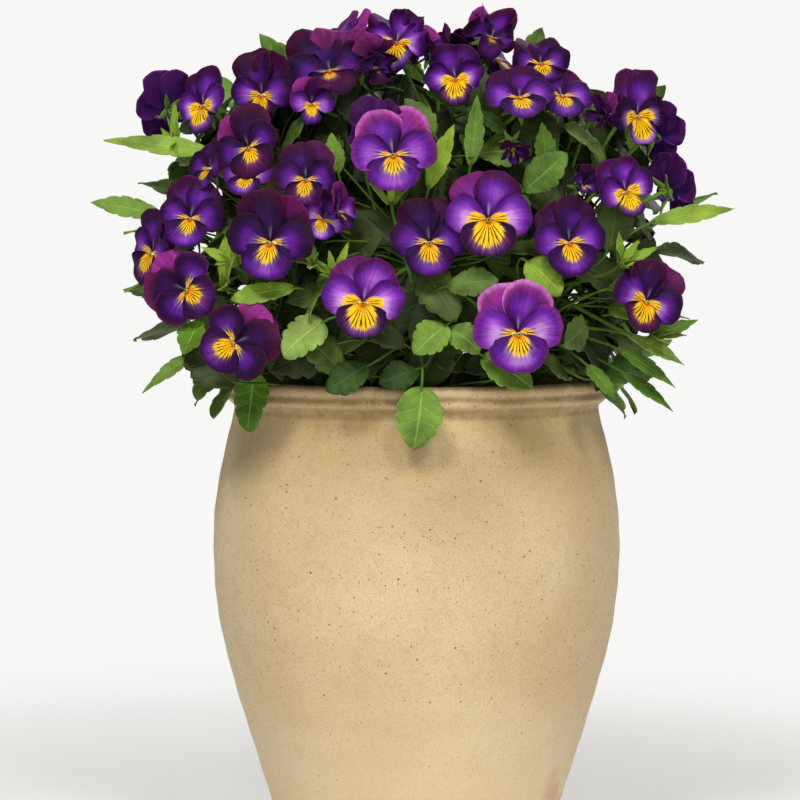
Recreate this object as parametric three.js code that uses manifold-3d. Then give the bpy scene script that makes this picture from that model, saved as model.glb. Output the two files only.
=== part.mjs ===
// A glazed, full-bellied pot of soil, planted with a dense dome of pansies. Millimetres, +Z up.
// The origin is the middle of the pot's foot. The side with the listed flowers faces -Y.
import * as THREE from "three";
import { mergeVertices } from "three/addons/utils/BufferGeometryUtils.js";
import Module from "manifold-3d";

const wasm = await Module();
wasm.setup();

// Pot
const potHeight = 250;
const potSides = 32;
const floorThickness = 10;
const drainHoleRadius = 5;
const drainHoleReach = 34;
const drainHoles = 3;
const fit = 0.3;

// Soil
const soilEdgeHeight = 223;
const soilTopHeight = 230;
const soilHeap = [[66, 228.5], [30, 229.5]];
const soilGap = 0.2;
const soilSides = 16;
const stemHoleGap = 0.7;

// Leafy stems: each ring has its number of stems, the distance of foot and head from the pot's
// axis, the height of the heads and the turn of the first stem, in degrees.
const stemRings = [
  { count: 7, foot: 56, head: 80, height: 322, turn: 12 },
  { count: 3, foot: 20, head: 36, height: 388, turn: 50 },
];
const stemRadius = 2.8;
const stemDepth = 26;
const stemMound = 3;
const stemTaper = 0.4;
const stemSteps = 4;

// Flowers
const petalThickness = 0.8;
const hubRadius = 0.15;
const clawRadius = 0.4;
const calyxLength = 6;
const stalkRadius = 1.3;
const thinStalkRadius = 1.1;
const calyxShare = 0.125;

// Leaves
const leafThickness = 0.8;
const petioleRadius = 0.95;
const leafFold = 0.22;

// The dome of flowers, as seen from the front: half its width, its height over the shoulder, the
// height of the shoulder over the rim, and how far it bulges out of the pot's axis.
const domeHalfWidth = 162;
const domeHeight = 168;
const domeShoulder = 25;
const domeDepth = 122;
const domeSquareness = 2.4;
const eyeDistance = 1500;
const eyeTilt = 0.054;

const glaze = new THREE.MeshStandardMaterial({ color: 0xe1c89e, roughness: 0.3, metalness: 0 });
const earth = new THREE.MeshStandardMaterial({ color: 0x3a2a1d, roughness: 0.95, metalness: 0 });
const foliage = new THREE.MeshStandardMaterial({ color: 0x5a8a34, roughness: 0.55, metalness: 0 });
const petalTints = [0x3d1260, 0x5b1f94, 0x7b35b8, 0x4a0f4f].map(
  (color) => new THREE.MeshStandardMaterial({ color, roughness: 0.6, metalness: 0 }),
);

const up = new THREE.Vector3(0, 0, 1);
const radians = THREE.MathUtils.degToRad;
const goldenTurn = 137.508;

// Adds amounts of several directions to a point: along(p, a, 2, b, 3) is p + 2a + 3b.
function along(point, ...pairs) {
  const sum = point.clone();
  for (let i = 0; i < pairs.length; i += 2) sum.addScaledVector(pairs[i], pairs[i + 1]);
  return sum;
}

// Repeatable draws from 0 to 1.
function makeDraw(seed) {
  let state = seed >>> 0;
  return () => {
    state = (state + 0x6d2b79f5) >>> 0;
    let mixed = Math.imul(state ^ (state >>> 15), state | 1);
    mixed ^= mixed + Math.imul(mixed ^ (mixed >>> 7), mixed | 61);
    return ((mixed ^ (mixed >>> 14)) >>> 0) / 4294967296;
  };
}

// A solid from a closed geometry, with shared corners merged and flat triangles dropped.
function solidOf(geometry) {
  geometry.deleteAttribute("normal");
  geometry.deleteAttribute("uv");
  const merged = mergeVertices(geometry, 1e-4);
  const kept = [];
  const index = merged.index.array;
  for (let i = 0; i < index.length; i += 3) {
    const [a, b, c] = index.slice(i, i + 3);
    if (a !== b && b !== c && c !== a) kept.push(a, b, c);
  }
  return new wasm.Manifold(
    new wasm.Mesh({
      numProp: 3,
      vertProperties: merged.attributes.position.array,
      triVerts: new Uint32Array(kept),
    }),
  );
}

function geometryOf(points, triangles) {
  const geometry = new THREE.BufferGeometry().setFromPoints(points);
  geometry.setIndex(triangles.flat());
  return geometry;
}

function meshOf(solid, name, material) {
  const { numProp, vertProperties, triVerts } = solid.getMesh();
  const positions = new Float32Array((vertProperties.length / numProp) * 3);
  for (let i = 0; i < positions.length / 3; i += 1) {
    positions.set(vertProperties.subarray(i * numProp, i * numProp + 3), i * 3);
  }
  const geometry = new THREE.BufferGeometry();
  geometry.setAttribute("position", new THREE.BufferAttribute(positions, 3));
  geometry.setIndex(new THREE.BufferAttribute(new Uint32Array(triVerts), 1));
  geometry.computeVertexNormals();
  const mesh = new THREE.Mesh(geometry, material);
  mesh.name = name;
  return mesh;
}

// A profile of [radius, height] turned round the Z axis.
function turned(profile, sides) {
  const lathe = new THREE.LatheGeometry(profile.map(([r, z]) => new THREE.Vector2(r, z)), sides);
  return solidOf(lathe.rotateX(Math.PI / 2));
}

// An upright peg, for holes.
function peg(x, y, bottom, top, radius, sides) {
  const cylinder = new THREE.CylinderGeometry(radius, radius, top - bottom, sides);
  cylinder.rotateX(Math.PI / 2);
  cylinder.translate(x, y, (top + bottom) / 2);
  return solidOf(cylinder);
}

// A tapered rod through points, with few sides. Its first and last sections are closed.
function rod(points, radii, sides, sideHint) {
  const corners = [];
  points.forEach((point, i) => {
    const before = points[Math.max(i - 1, 0)];
    const after = points[Math.min(i + 1, points.length - 1)];
    const ahead = after.clone().sub(before).normalize();
    const side = ahead.clone().cross(sideHint).normalize();
    const other = side.clone().cross(ahead);
    for (let k = 0; k < sides; k += 1) {
      const angle = (2 * Math.PI * k) / sides;
      corners.push(
        along(point, side, radii[i] * Math.cos(angle), other, radii[i] * Math.sin(angle)),
      );
    }
  });
  const triangles = [];
  for (let i = 0; i + 1 < points.length; i += 1) {
    for (let k = 0; k < sides; k += 1) {
      const a = i * sides + k;
      const b = i * sides + ((k + 1) % sides);
      triangles.push([a, a + sides, b], [b, a + sides, b + sides]);
    }
  }
  const last = (points.length - 1) * sides;
  for (let k = 1; k + 1 < sides; k += 1) {
    triangles.push([0, k, k + 1], [last, last + k + 1, last + k]);
  }
  return solidOf(geometryOf(corners, triangles));
}

// Pot outline, [radius, height] from the middle of the foot up the outside, over the rim and down
// the inside.
const potOutside = [
  [66.8, 0], [69.6, 3], [98.6, 98], [104.6, 125], [107.3, 154], [106.8, 180],
  [103, 206], [97.6, 229], [96.6, 236.5],
];
const potRim = [
  [99.2, 239.4], [100.4, 242], [99.5, 244.2], [100.7, 247], [98.8, 249.6], [94.5, 250],
  [90.6, 248], [88.6, 241],
];
const potInside = [[89.4, 226], [97.4, 190], [98, 156], [91.6, 106], [70.5, 34]];
const potFloorRadius = 60;

function makePot() {
  const profile = [[0, 0], ...potOutside, ...potRim, ...potInside];
  profile.push([potFloorRadius, floorThickness], [0, floorThickness]);
  let pot = turned(profile, potSides);
  for (let i = 0; i < drainHoles; i += 1) {
    const turn = radians(30 + (i * 360) / drainHoles);
    const x = drainHoleReach * Math.cos(turn);
    const y = drainHoleReach * Math.sin(turn);
    pot = pot.subtract(peg(x, y, -5, floorThickness + 5, drainHoleRadius, 8));
  }
  return pot;
}

// Each stem's foot in the soil and its curve, which rises straight and then leans to its head.
const stemPlaces = stemRings.flatMap(({ count, foot, head, height, turn }) =>
  Array.from({ length: count }, (_, i) => {
    const angle = radians(turn + (i * 360) / count);
    const out = new THREE.Vector3(Math.cos(angle), Math.sin(angle), 0);
    return { out, foot, head, height };
  }),
);

function stemFoot({ out, foot }) {
  return along(new THREE.Vector3(0, 0, soilTopHeight - stemDepth), out, foot);
}

function stemPoint({ out, foot, head, height }, share) {
  const soilLine = soilTopHeight + stemMound;
  const rise = soilLine + (height - soilLine) * share;
  const lean = foot + (head - foot) * share * (2 - share);
  return along(new THREE.Vector3(0, 0, rise), out, lean);
}

function makeSoil() {
  const inside = potInside.map(([r, z]) => [r - fit, z]).reverse();
  const profile = [[0, floorThickness + fit], [potFloorRadius - fit, floorThickness + fit]];
  profile.push(...inside.slice(0, 4), [potInside[0][0] - soilGap, soilEdgeHeight]);
  profile.push(...soilHeap, [0, soilTopHeight]);
  let soil = turned(profile, soilSides);
  for (const place of stemPlaces) {
    const foot = stemFoot(place);
    const hole = stemRadius + stemHoleGap;
    soil = soil.subtract(peg(foot.x, foot.y, foot.z - fit, soilTopHeight + 20, hole, 7));
  }
  return soil;
}

// How far the dome bulges towards the eye at a place seen from the front.
function domeBulge(across, rise) {
  const side = Math.abs(across / domeHalfWidth) ** domeSquareness;
  const top = Math.max(0, (rise - domeShoulder) / domeHeight) ** domeSquareness;
  return domeDepth * (1 - Math.min(side + top, 0.97)) ** (1 / domeSquareness);
}

// How far the dome's surface is from the pot's axis, at a turn from the front and a rise.
function domeReach(turn, rise) {
  const top = Math.max(0, (rise - domeShoulder) / domeHeight) ** domeSquareness;
  const side = Math.abs(Math.sin(radians(turn)) / domeHalfWidth) ** domeSquareness;
  const front = Math.abs(Math.cos(radians(turn)) / domeDepth) ** domeSquareness;
  return ((1 - Math.min(top, 0.97)) / (side + front)) ** (1 / domeSquareness);
}

// The level direction at a turn from the front, in degrees.
function outward(turn) {
  return new THREE.Vector3(Math.sin(radians(turn)), -Math.cos(radians(turn)), 0);
}

// The point that is seen at (across, rise) over the middle of the rim, at a depth towards the eye.
function seenPoint(across, rise, depth) {
  const near = 1 - depth / eyeDistance;
  return new THREE.Vector3(across * near, -depth, potHeight + rise * near + depth * eyeTilt);
}

// The frame of a flower: where it looks, its own upward direction and its right hand.
function facing(yaw, pitch, roll) {
  const [y, p, r] = [radians(yaw), radians(pitch), radians(roll)];
  const look = new THREE.Vector3(
    Math.cos(p) * Math.sin(y),
    -Math.cos(p) * Math.cos(y),
    Math.sin(p),
  );
  const level = up.clone().addScaledVector(look, -look.z).normalize();
  const right = level.clone().cross(look);
  const crown = along(new THREE.Vector3(), level, Math.cos(r), right, Math.sin(r));
  return { look, crown, right: crown.clone().cross(look) };
}

// A thin blade. Plan holds each corner's flat place, front and back its place on the two faces,
// loops the outlines that together make a face, and rim the blade's own edge, in order.
function slab(plan, front, back, loops, rim) {
  const count = front.length;
  const triangles = [];
  for (const loop of loops) {
    for (const corners of THREE.ShapeUtils.triangulateShape(loop.map((k) => plan[k]), [])) {
      let [a, b, c] = corners.map((k) => loop[k]);
      if (THREE.ShapeUtils.area([plan[a], plan[b], plan[c]]) < 0) [b, c] = [c, b];
      triangles.push([a, b, c], [a + count, c + count, b + count]);
    }
  }
  const clockwise = THREE.ShapeUtils.area(rim.map((k) => plan[k])) < 0;
  rim.forEach((corner, i) => {
    const other = rim[(i + 1) % rim.length];
    const [a, b] = clockwise ? [corner, other] : [other, corner];
    triangles.push([a, b, a + count], [b, b + count, a + count]);
  });
  return solidOf(geometryOf([...front, ...back], triangles));
}

// Petals, going round from the top: [angle in degrees, reach, lift], reach and lift as shares of
// half the flower's width. The first and last corners of each are its narrow claw.
const hubAngles = [0, 60, 120, 240, 300];
const petalOutlines = [
  [[4, clawRadius, -0.09], [-11, 1.06, -0.13], [21, 1.25, -0.17], [52, 1.08, -0.14],
    [56, clawRadius, -0.09]],
  [[64, clawRadius, 0.01], [46, 0.86, 0.04], [77, 1.04, 0], [107, 0.88, 0.03],
    [116, clawRadius, 0.01]],
  [[124, clawRadius, 0.1], [108, 0.66, 0.13], [149, 0.91, 0.16], [211, 0.91, 0.16],
    [252, 0.66, 0.13], [236, clawRadius, 0.1]],
  [[244, clawRadius, 0.01], [253, 0.88, 0.03], [283, 1.04, 0], [314, 0.86, 0.04],
    [296, clawRadius, 0.01]],
  [[304, clawRadius, -0.19], [308, 1.08, -0.25], [339, 1.25, -0.29], [371, 1.06, -0.25],
    [356, clawRadius, -0.19]],
];

// One flower as a single closed body: a five-cornered throat whose edges run out into five petals.
// Cup folds the petals forward, and swap puts the other upper petal in front. Thick and shift
// give the fatter body that keeps its neighbours clear.
function makeFlower({ hub, frame, half, cup, swap, seed }, thick, shift) {
  const draw = makeDraw(seed);
  const hand = swap ? -1 : 1;
  const plan = [];
  const front = [];
  const back = [];
  function addCorner(angle, reach, lift, fold) {
    const [sin, cos] = [Math.sin(radians(angle)) * hand, Math.cos(radians(angle))];
    const outward = along(new THREE.Vector3(), frame.crown, cos, frame.right, sin);
    const run = half * (reach * Math.cos(fold) - lift * Math.sin(fold));
    const rise = half * (reach * Math.sin(fold) + lift * Math.cos(fold));
    const point = along(hub, outward, run, frame.look, rise);
    const face = [frame.look, Math.cos(fold), outward, -Math.sin(fold)];
    plan.push(new THREE.Vector2(reach * sin, reach * cos));
    front.push(along(point, face[0], face[1] * shift, face[2], face[3] * shift));
    back.push(along(front.at(-1), face[0], -face[1] * thick, face[2], -face[3] * thick));
  }
  hubAngles.forEach((angle) => addCorner(angle, hubRadius, 0, 0));
  const loops = [[0, 1, 2, 3, 4]];
  const rim = [];
  petalOutlines.forEach((outline, petal) => {
    const stretch = 0.94 + 0.12 * draw();
    const sway = 6 * (draw() - 0.5);
    const loop = [];
    outline.forEach(([angle, reach, lift], i) => {
      const claw = i === 0 || i === outline.length - 1;
      loop.push(front.length);
      if (claw) addCorner(angle, reach, lift, radians(cup));
      else addCorner(angle + sway, reach * stretch, lift, radians(cup));
    });
    rim.push(petal, ...loop);
    loops.push([petal, ...loop, (petal + 1) % 5]);
  });
  return slab(plan, front, back, loops, rim);
}

// Leaf margins: [share of the length, share of half the width]. Each dip is a notch between two
// blunt teeth. Ribs are the shares of the length where the midrib has a corner.
const leafForms = {
  broad: {
    margin: [[0, 0.14], [0.2, 0.78], [0.27, 0.68], [0.45, 1], [0.53, 0.84], [0.7, 0.76],
      [0.78, 0.52]],
    ribs: [0.3, 0.62],
  },
  toothed: { margin: [[0, 0.14], [0.27, 0.84], [0.36, 0.7], [0.56, 0.94], [0.66, 0.64]], ribs: [0.46] },
  slim: { margin: [[0, 0.16], [0.3, 0.9], [0.62, 0.84]], ribs: [0.45] },
};

// A leaf blade that droops along its length and rises from its midrib to its margins. With a root,
// its stalk runs straight on from the base to that point.
function makeLeaf({ base, tip, half, normal, form, droop }, thick, shift, root) {
  const length = tip.distanceTo(base);
  const ahead = tip.clone().sub(base).normalize();
  const side = ahead.clone().cross(normal).normalize();
  const face = side.clone().cross(ahead);
  const plan = [];
  const front = [];
  const back = [];
  function addCorner(share, width) {
    const lift = leafFold * Math.abs(width) * half - droop * length * share * share;
    const point = along(base, ahead, length * share, side, width * half, face, lift + shift);
    plan.push(new THREE.Vector2(width * half, length * share));
    front.push(point);
    back.push(along(point, face, -thick));
    return front.length - 1;
  }
  const { margin, ribs } = leafForms[form];
  const left = margin.map(([share, width]) => addCorner(share, -width));
  const right = margin.map(([share, width]) => addCorner(share, width));
  const point = addCorner(1, 0);
  const rib = ribs.map((share) => addCorner(share, 0));
  const spine = [point, ...rib.toReversed()];
  const loops = [[...left, ...spine], [...right, ...spine], [left[0], right[0], rib[0]]];
  const rim = [...left, point, ...right.toReversed()];
  if (root) {
    const reach = base.clone().sub(root).normalize();
    const level = along(side, reach, -side.dot(reach)).normalize();
    const top = level.clone().cross(reach);
    const depth = petioleRadius + (thick - leafThickness) / 2;
    const stalk = [1, -1].map((hand) => {
      const corner = along(root, level, hand * petioleRadius, top, depth);
      plan.push(new THREE.Vector2(hand * petioleRadius, -length));
      front.push(corner);
      back.push(along(corner, top, -2 * depth));
      return front.length - 1;
    });
    rim.push(...stalk);
    loops.push([right[0], ...stalk, left[0]]);
  }
  return slab(plan, front, back, loops, rim);
}

// Everything that is already placed, as [solid, box, node], so that what comes next stays clear.
const placed = [];

function boxesMeet(a, b) {
  return [0, 1, 2].every((i) => a.min[i] <= b.max[i] && b.min[i] <= a.max[i]);
}

function meets(solid, skip = () => false) {
  const box = solid.boundingBox();
  return placed.some(
    (other) =>
      !skip(other.node) &&
      boxesMeet(box, other.box) &&
      solid.intersect(other.solid).volume() > 1e-6,
  );
}

function settle(solid, node) {
  placed.push({ solid, box: solid.boundingBox(), node });
}

// Listed flowers: [across, rise, behind, half width, yaw, pitch, roll, cup, swap, tint, touches].
// Across and rise are as seen from the front, from the middle of the rim. Behind is how far the
// flower sits back from the dome. Touches names a flower that a small one grows into.
const listedFlowers = [
  ["a01", 37, 83, 0, 22, 5, 5, 0, 4, 0, 1],
  ["a02", -29, 39, 0, 20.5, 0, 0, 4, 4, 0, 1],
  ["a03", 53, 23, 0, 22, 6, -3, -4, 4, 0, 2],
  ["a04", -13, 117, 0, 22, 0, 10, -4, 4, 1, 2],
  ["a05", -78, 71, 0, 22, -18, 2, 4, 4, 1, 0],
  ["a06", -46, 161, 0, 21, -10, 34, -12, 6, 1, 2],
  ["a07", 6, 71, 7, 20, 3, 0, 0, 5, 1, 0],
  ["a08", 80, 71, 2, 19, 16, 2, -6, 4, 0, 0],
  ["a09", -97, 18, 0, 20, -14, -4, 62, 5, 0, 0],
  ["a10", -122, 46, 4, 20, -18, 0, -64, 5, 1, 0],
  ["a11", 121, 40, 0, 19, 18, 0, 26, 6, 1, 0],
  ["a12", -89, 121, 2, 18, -14, 4, -26, 5, 0, 0],
  ["a13", -59, 104, 3, 16.5, -12, 4, 0, 6, 1, 0],
  ["a14", 54, 147, 0, 18, 5, 36, -6, 4, 0, 2],
  ["a15", 76, 148, 6, 17, 20, 34, 8, 6, 1, 1],
  ["a16", -120, 84, 4, 17.5, -16, 2, 6, 5, 0, 0],
  ["a17", -140, 66, 4, 18.5, -54, 0, 16, 6, 1, 1],
  ["a18", 110, 98, 2, 15.5, 22, 4, -18, 8, 0, 1],
  ["a19", 116, 138, 0, 18, 38, -6, -6, 10, 0, 2],
  ["a20", -82, 149, 3, 17, -26, -6, 4, 6, 1, 1],
  ["a21", -113, 143, 2, 17, -40, 8, -10, 8, 0, 2],
  ["a22", -11, 176, 4, 17, -6, 20, 4, 8, 0, 2],
  ["a23", 20, 157, 2, 15.5, -8, 4, -6, 8, 1, 0],
  ["a24", 39, 179, 2, 15, 22, 24, 20, 14, 0, 3],
  ["a25", 5, 173, 10, 14, -30, 56, 0, 10, 0, 2],
  ["a26", -133, 141, 6, 18, -138, 8, 0, 8, 0, 1],
  ["a27", 135, 98, 8, 18, 122, 4, 0, 8, 0, 1],
  ["a28", 127, 128, 10, 16, 138, 0, 0, 10, 1, 1],
  ["a29", 50, 121, 12, 11, 10, -42, 0, 52, 0, 0],
  ["a30", 87, 101, 10, 10, 20, 10, 30, 46, 0, 0],
  ["a31", -50, 83, 8, 12, 4, 0, 20, 8, 0, 1],
  ["a32", 96, 138, 6, 12, 18, -10, 0, 54, 1, 3],
  ["b01", -56, 144, 2, 12, 12, -6, 0, 12, 0, 3, "a06"],
  ["b02", -24, 163, 4, 14, 58, 4, 0, 34, 0, 1, "a06"],
  ["b03", -36, 144, 14, 16, 165, -8, 0, 8, 1, 0, "a04"],
  ["b05", -110, 110, 8, 15, -52, 14, 0, 8, 1, 0, "a12"],
  ["b06", -90, 94, 6, 14, -20, 28, 0, 8, 0, 2, "a12"],
  ["b07", -33, 92, 4, 13, 66, 6, 0, 26, 1, 3, "a31"],
  ["b08", 65, 165, 4, 15, 14, 28, 0, 8, 0, 0, "a15"],
];

// The flowers that are not seen from the front, in tiers round the back: the number in a tier, its
// first and last turn from the front, and how high and how far out it is.
const backTiers = [
  { count: 5, from: 108, to: 252, rise: 32, reach: 120 },
  { count: 5, from: 100, to: 260, rise: 84, reach: 124 },
  { count: 4, from: 112, to: 248, rise: 132, reach: 98 },
  { count: 4, from: 64, to: 296, rise: 168, reach: 46 },
];

const flowers = [];

function listedFlower(row, index) {
  const [name, across, rise, behind, half, yaw, pitch, roll, cup, swap, tint, touches] = row;
  const bulge = domeBulge(across, rise);
  return {
    name,
    half,
    cup,
    swap,
    tint,
    touches,
    seed: 100 + index,
    frame: facing(yaw, pitch, roll),
    hubAt: (step) => seenPoint(across, rise, bulge - behind - 3 * step),
  };
}

function tierFlower({ count, from, to, rise, reach }, tier, place) {
  const draw = makeDraw(300 + 20 * tier + place);
  const turn = from + ((to - from) * place) / (count - 1) + 10 * (draw() - 0.5);
  const height = potHeight + rise + 14 * (draw() - 0.5);
  const half = 18 + 3.5 * draw();
  const pitch = 4 + 0.24 * (rise - 30) + 14 * (draw() - 0.5);
  const yaw = turn + 16 * (draw() - 0.5);
  const roll = 24 * (draw() - 0.5);
  return {
    name: `back${tier}${place}`,
    half,
    cup: 5,
    swap: draw() > 0.5 ? 1 : 0,
    tint: Math.floor(3 * draw()),
    seed: 400 + 20 * tier + place,
    frame: facing(yaw, pitch, roll),
    hubAt: (step) => along(new THREE.Vector3(0, 0, height), outward(turn), reach - 3 * step),
  };
}

// Puts each flower at the first place where it is clear of the others. One that grows into another
// moves towards it until the two touch, and may touch its neighbours too.
const hubSteps = 10;
const touchStep = 0.07;
const touchVolume = 0.5;

function placeFlower(flower) {
  const own = flowers.find(({ name }) => name === flower.touches);
  for (let step = 0; step < hubSteps; step += 1) {
    flower.hub = own ? flower.hubAt(0).lerp(own.hub, touchStep * step) : flower.hubAt(step);
    flower.solid = makeFlower(flower, petalThickness, 0);
    if (own && flower.solid.intersect(own.solid).volume() < touchVolume) continue;
    const fat = makeFlower(flower, petalThickness + 1, 0.5);
    if (meets(fat, (node) => own && flowers.some((other) => other.node === node))) continue;
    flower.node = own ? own.node : flower.name;
    const touched = flowers.filter(({ solid }) => solid.intersect(flower.solid).volume() > 1e-6);
    const joined = new Set(touched.map(({ node }) => node));
    flowers.push(flower);
    settle(flower.solid, flower.node);
    for (const thing of [...flowers, ...placed]) {
      if (joined.has(thing.node)) thing.node = flower.node;
    }
    return;
  }
}

// A flower's stalk starts as its green calyx, a hair behind the throat, and bends down to a stem.
// Share is where it joins the stem, bow is how far it swings aside, and handle how far it runs back.
const stalkShares = [0.8, 0.6, 0.95, 0.4, 0.25];
const stalkBows = [0, 9, -9, 18, -18, 30, -30, 45, -45];
const stalkHandles = [12, 6];
const stalkStems = 6;

function nearestStems(point, count) {
  const distance = (place) => stemPoint(place, 0.8).distanceTo(point);
  return [...stemPlaces].sort((a, b) => distance(a) - distance(b)).slice(0, count);
}

function stalkPoints({ hub, frame }, place, share, bow, handle) {
  const { look, right } = frame;
  const top = along(hub, look, -petalThickness - fit);
  const start = along(top, look, -calyxLength);
  const end = stemPoint(place, share);
  const curve = new THREE.CubicBezierCurve3(
    start,
    along(start, look, -handle, up, handle / 2 - 10, right, bow),
    along(end, up, 16, place.out, 6, right, bow),
    end,
  );
  return [top, start, ...[0.35, 0.7, 1].map((t) => curve.getPoint(t))];
}

function placeStalk(flower) {
  const { half, frame, hub } = flower;
  const radii = [calyxShare * half, stalkRadius, thinStalkRadius, thinStalkRadius, stalkRadius];
  const fatRadii = radii.map((radius, i) => (i < 2 ? radius : radius + 0.5));
  for (const place of nearestStems(hub, stalkStems)) {
    for (const share of stalkShares) {
      for (const bow of stalkBows) {
        for (const handle of stalkHandles) {
          const points = stalkPoints(flower, place, share, bow, handle);
          const fat = rod(points, fatRadii, 3, frame.right);
          if (meets(fat, (node) => node.startsWith(place.node))) continue;
          const outer = rod(points.slice(0, 4), fatRadii, 3, frame.right);
          if (meets(outer, (node) => node === place.node)) continue;
          const solid = rod(points, radii, 3, frame.right);
          place.parts.push(solid);
          settle(solid, place.node + " stalk");
          return;
        }
      }
    }
  }
}

// Leaves that show from the front: [across and rise of the base, across and rise of the tip,
// behind, half width, form].
const listedLeaves = [
  [2, -6, -2, -38, 6, 12, "broad"],
  [-50, 29, -72, 13, 8, 11, "broad"],
  [15, 27, -2, 13, 10, 9, "broad"],
  [58, 61, 77, 46, 8, 10, "broad"],
  [35, 11, 61, -5, 12, 10, "broad"],
  [-86, 2, -92, -28, 34, 10.5, "broad"],
  [-101, 12, -119, -10, 30, 10, "broad"],
  [17, 26, 33, 14, 12, 8, "toothed"],
  [-115, 150, -142, 154, 14, 7, "toothed"],
  [-107, 119, -165, 128, 22, 5.5, "slim"],
  [-136, 87, -172, 94, 10, 6, "slim"],
  [-115, 31, -125, 13, 8, 8.5, "toothed"],
  [-118, 13, -147, -6, 20, 4.5, "slim"],
  [-26, 6, -49, -6, 12, 9, "toothed"],
  [0, 4, -20, -3, 14, 8, "toothed"],
  [16, 48, 42, 52, 8, 8, "toothed"],
  [101, 47, 134, 55, 4, 5, "slim"],
  [124, 82, 167, 91, 12, 5, "slim"],
  [114, 113, 142, 110, 12, 8, "toothed"],
  [106, 15, 138, -3, 24, 4.5, "slim"],
  [108, 3, 137, -16, 30, 4, "slim"],
  [90, 6, 106, -10, 22, 5, "slim"],
  [112, 22, 142, 9, 14, 4.5, "slim"],
  [6, 100, 18, 133, 18, 5.5, "slim"],
  [28, 112, 32, 148, 18, 5, "slim"],
  [1, 120, 3, 144, 22, 4.5, "slim"],
  [56, 99, 78, 118, 14, 9, "toothed"],
  [68, 112, 67, 134, 20, 6, "slim"],
  [-42, 108, -46, 128, 18, 5.5, "slim"],
  [-29, 116, -30, 134, 16, 6, "slim"],
  [-66, 47, -99, 43, 12, 6, "toothed"],
];

// Leaves that hang over the rim where the listed ones end, and leaves that fill the dome under its
// flowers all the way round.
const rimLeaves = { count: 12, from: 70, to: 290, base: 90, rise: 11, reach: 120, fall: 8 };
const fillLeaves = { count: 39, from: 62, span: 236, lowest: 4, highest: 172, sunk: 14, inset: 26 };

function listedLeaf([baseAcross, baseRise, tipAcross, tipRise, behind, half, form]) {
  const leafAt = (step) => {
    const depth = domeBulge(baseAcross, baseRise) - behind - 3 * step;
    const base = seenPoint(baseAcross, baseRise, depth - 4);
    const tip = seenPoint(tipAcross, tipRise, depth + 2);
    const normal = new THREE.Vector3(base.x / domeHalfWidth, -1, 0.5).normalize();
    return { base, tip, half, normal, form, droop: 0.12 };
  };
  return { leafAt, steps: 9 };
}

function rimLeaf(place) {
  const { count, from, to, base: start, rise, reach, fall } = rimLeaves;
  const draw = makeDraw(700 + place);
  const turn = from + ((to - from) * place) / (count - 1) + 8 * (draw() - 0.5);
  const half = 8 + 3 * draw();
  const drop = fall + 14 * draw();
  const swing = 16 * (draw() - 0.5);
  const leafAt = (step) => {
    const side = [0, 7, -7, 14, -14][step % 5];
    const raise = 5 * Math.floor(step / 5);
    const lower = new THREE.Vector3(0, 0, potHeight - drop + raise);
    const base = along(new THREE.Vector3(0, 0, potHeight + rise + raise), outward(turn + side), start);
    const tip = along(lower, outward(turn + side + swing), reach);
    const normal = along(outward(turn), up, 1.2).normalize();
    return { base, tip, half, normal, form: "toothed", droop: 0.1 };
  };
  return { leafAt, steps: 20 };
}

function fillLeaf(place) {
  const { count, from, span, lowest, highest, sunk, inset } = fillLeaves;
  const draw = makeDraw(800 + place);
  const turn = from + ((goldenTurn * place) % span);
  const rise = lowest + (highest - lowest) * ((place + 0.5) / count);
  const length = 38 + 14 * draw();
  const half = length * (0.18 + 0.08 * draw());
  const form = half > 10.5 ? "toothed" : "slim";
  const climb = 0.9 * draw() - 0.35 + rise / highest * 0.5;
  const swing = 1.6 * (draw() - 0.5);
  const depth = inset * draw();
  const out = outward(turn);
  const round = up.clone().cross(out);
  const start = new THREE.Vector3(0, 0, potHeight + rise);
  const middle = along(start, out, domeReach(turn, rise) - sunk - depth);
  const leafAt = (step) => {
    const lean = swing + [0, 0.5, -0.5, 1, -1, 1.5, -1.5][step % 7];
    const ahead = along(out.clone().multiplyScalar(0.6), round, lean, up, climb).normalize();
    const centre = along(middle, out, -6 * Math.floor(step / 7));
    const normal = along(out.clone().multiplyScalar(0.7), up, 0.8).normalize();
    return {
      base: along(centre, ahead, -length / 2),
      tip: along(centre, ahead, length / 2),
      half,
      normal,
      form,
      droop: 0.14,
    };
  };
  return { leafAt, steps: 21 };
}

// Puts a leaf at its first clear place, with a stalk that is clear too down to one of the stems.
const petioleShares = [0.5, 0.75, 0.3, 0.15, 0.95];
const petioleStems = 3;

function placeLeaf({ leafAt, steps }) {
  for (let step = 0; step < steps; step += 1) {
    const leaf = leafAt(step);
    if (meets(makeLeaf(leaf, leafThickness + 1, 0.5))) continue;
    for (const place of nearestStems(leaf.base, petioleStems)) {
      for (const share of petioleShares) {
        const root = stemPoint(place, share);
        const fat = makeLeaf(leaf, leafThickness + 1, 0.5, root);
        if (meets(fat, (node) => node.startsWith(place.node))) continue;
        const solid = makeLeaf(leaf, leafThickness, 0, root);
        place.parts.push(solid);
        settle(solid, place.node + " leaf");
        return;
      }
    }
  }
}

// Builds the plants.
const pot = makePot();
const soil = makeSoil();
settle(pot, "pot");
settle(soil, "soil");

stemPlaces.forEach((place, i) => {
  place.node = `leafy_stem_${String(i + 1).padStart(2, "0")}`;
  const shares = Array.from({ length: stemSteps }, (_, k) => k / (stemSteps - 1));
  const points = [stemFoot(place), ...shares.map((share) => stemPoint(place, share))];
  const radii = [stemRadius, ...shares.map((share) => stemRadius * (1 - stemTaper * share))];
  const solid = rod(points, radii, 5, new THREE.Vector3(0, 1, 0));
  place.parts = [solid];
  settle(solid, place.node);
});

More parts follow.
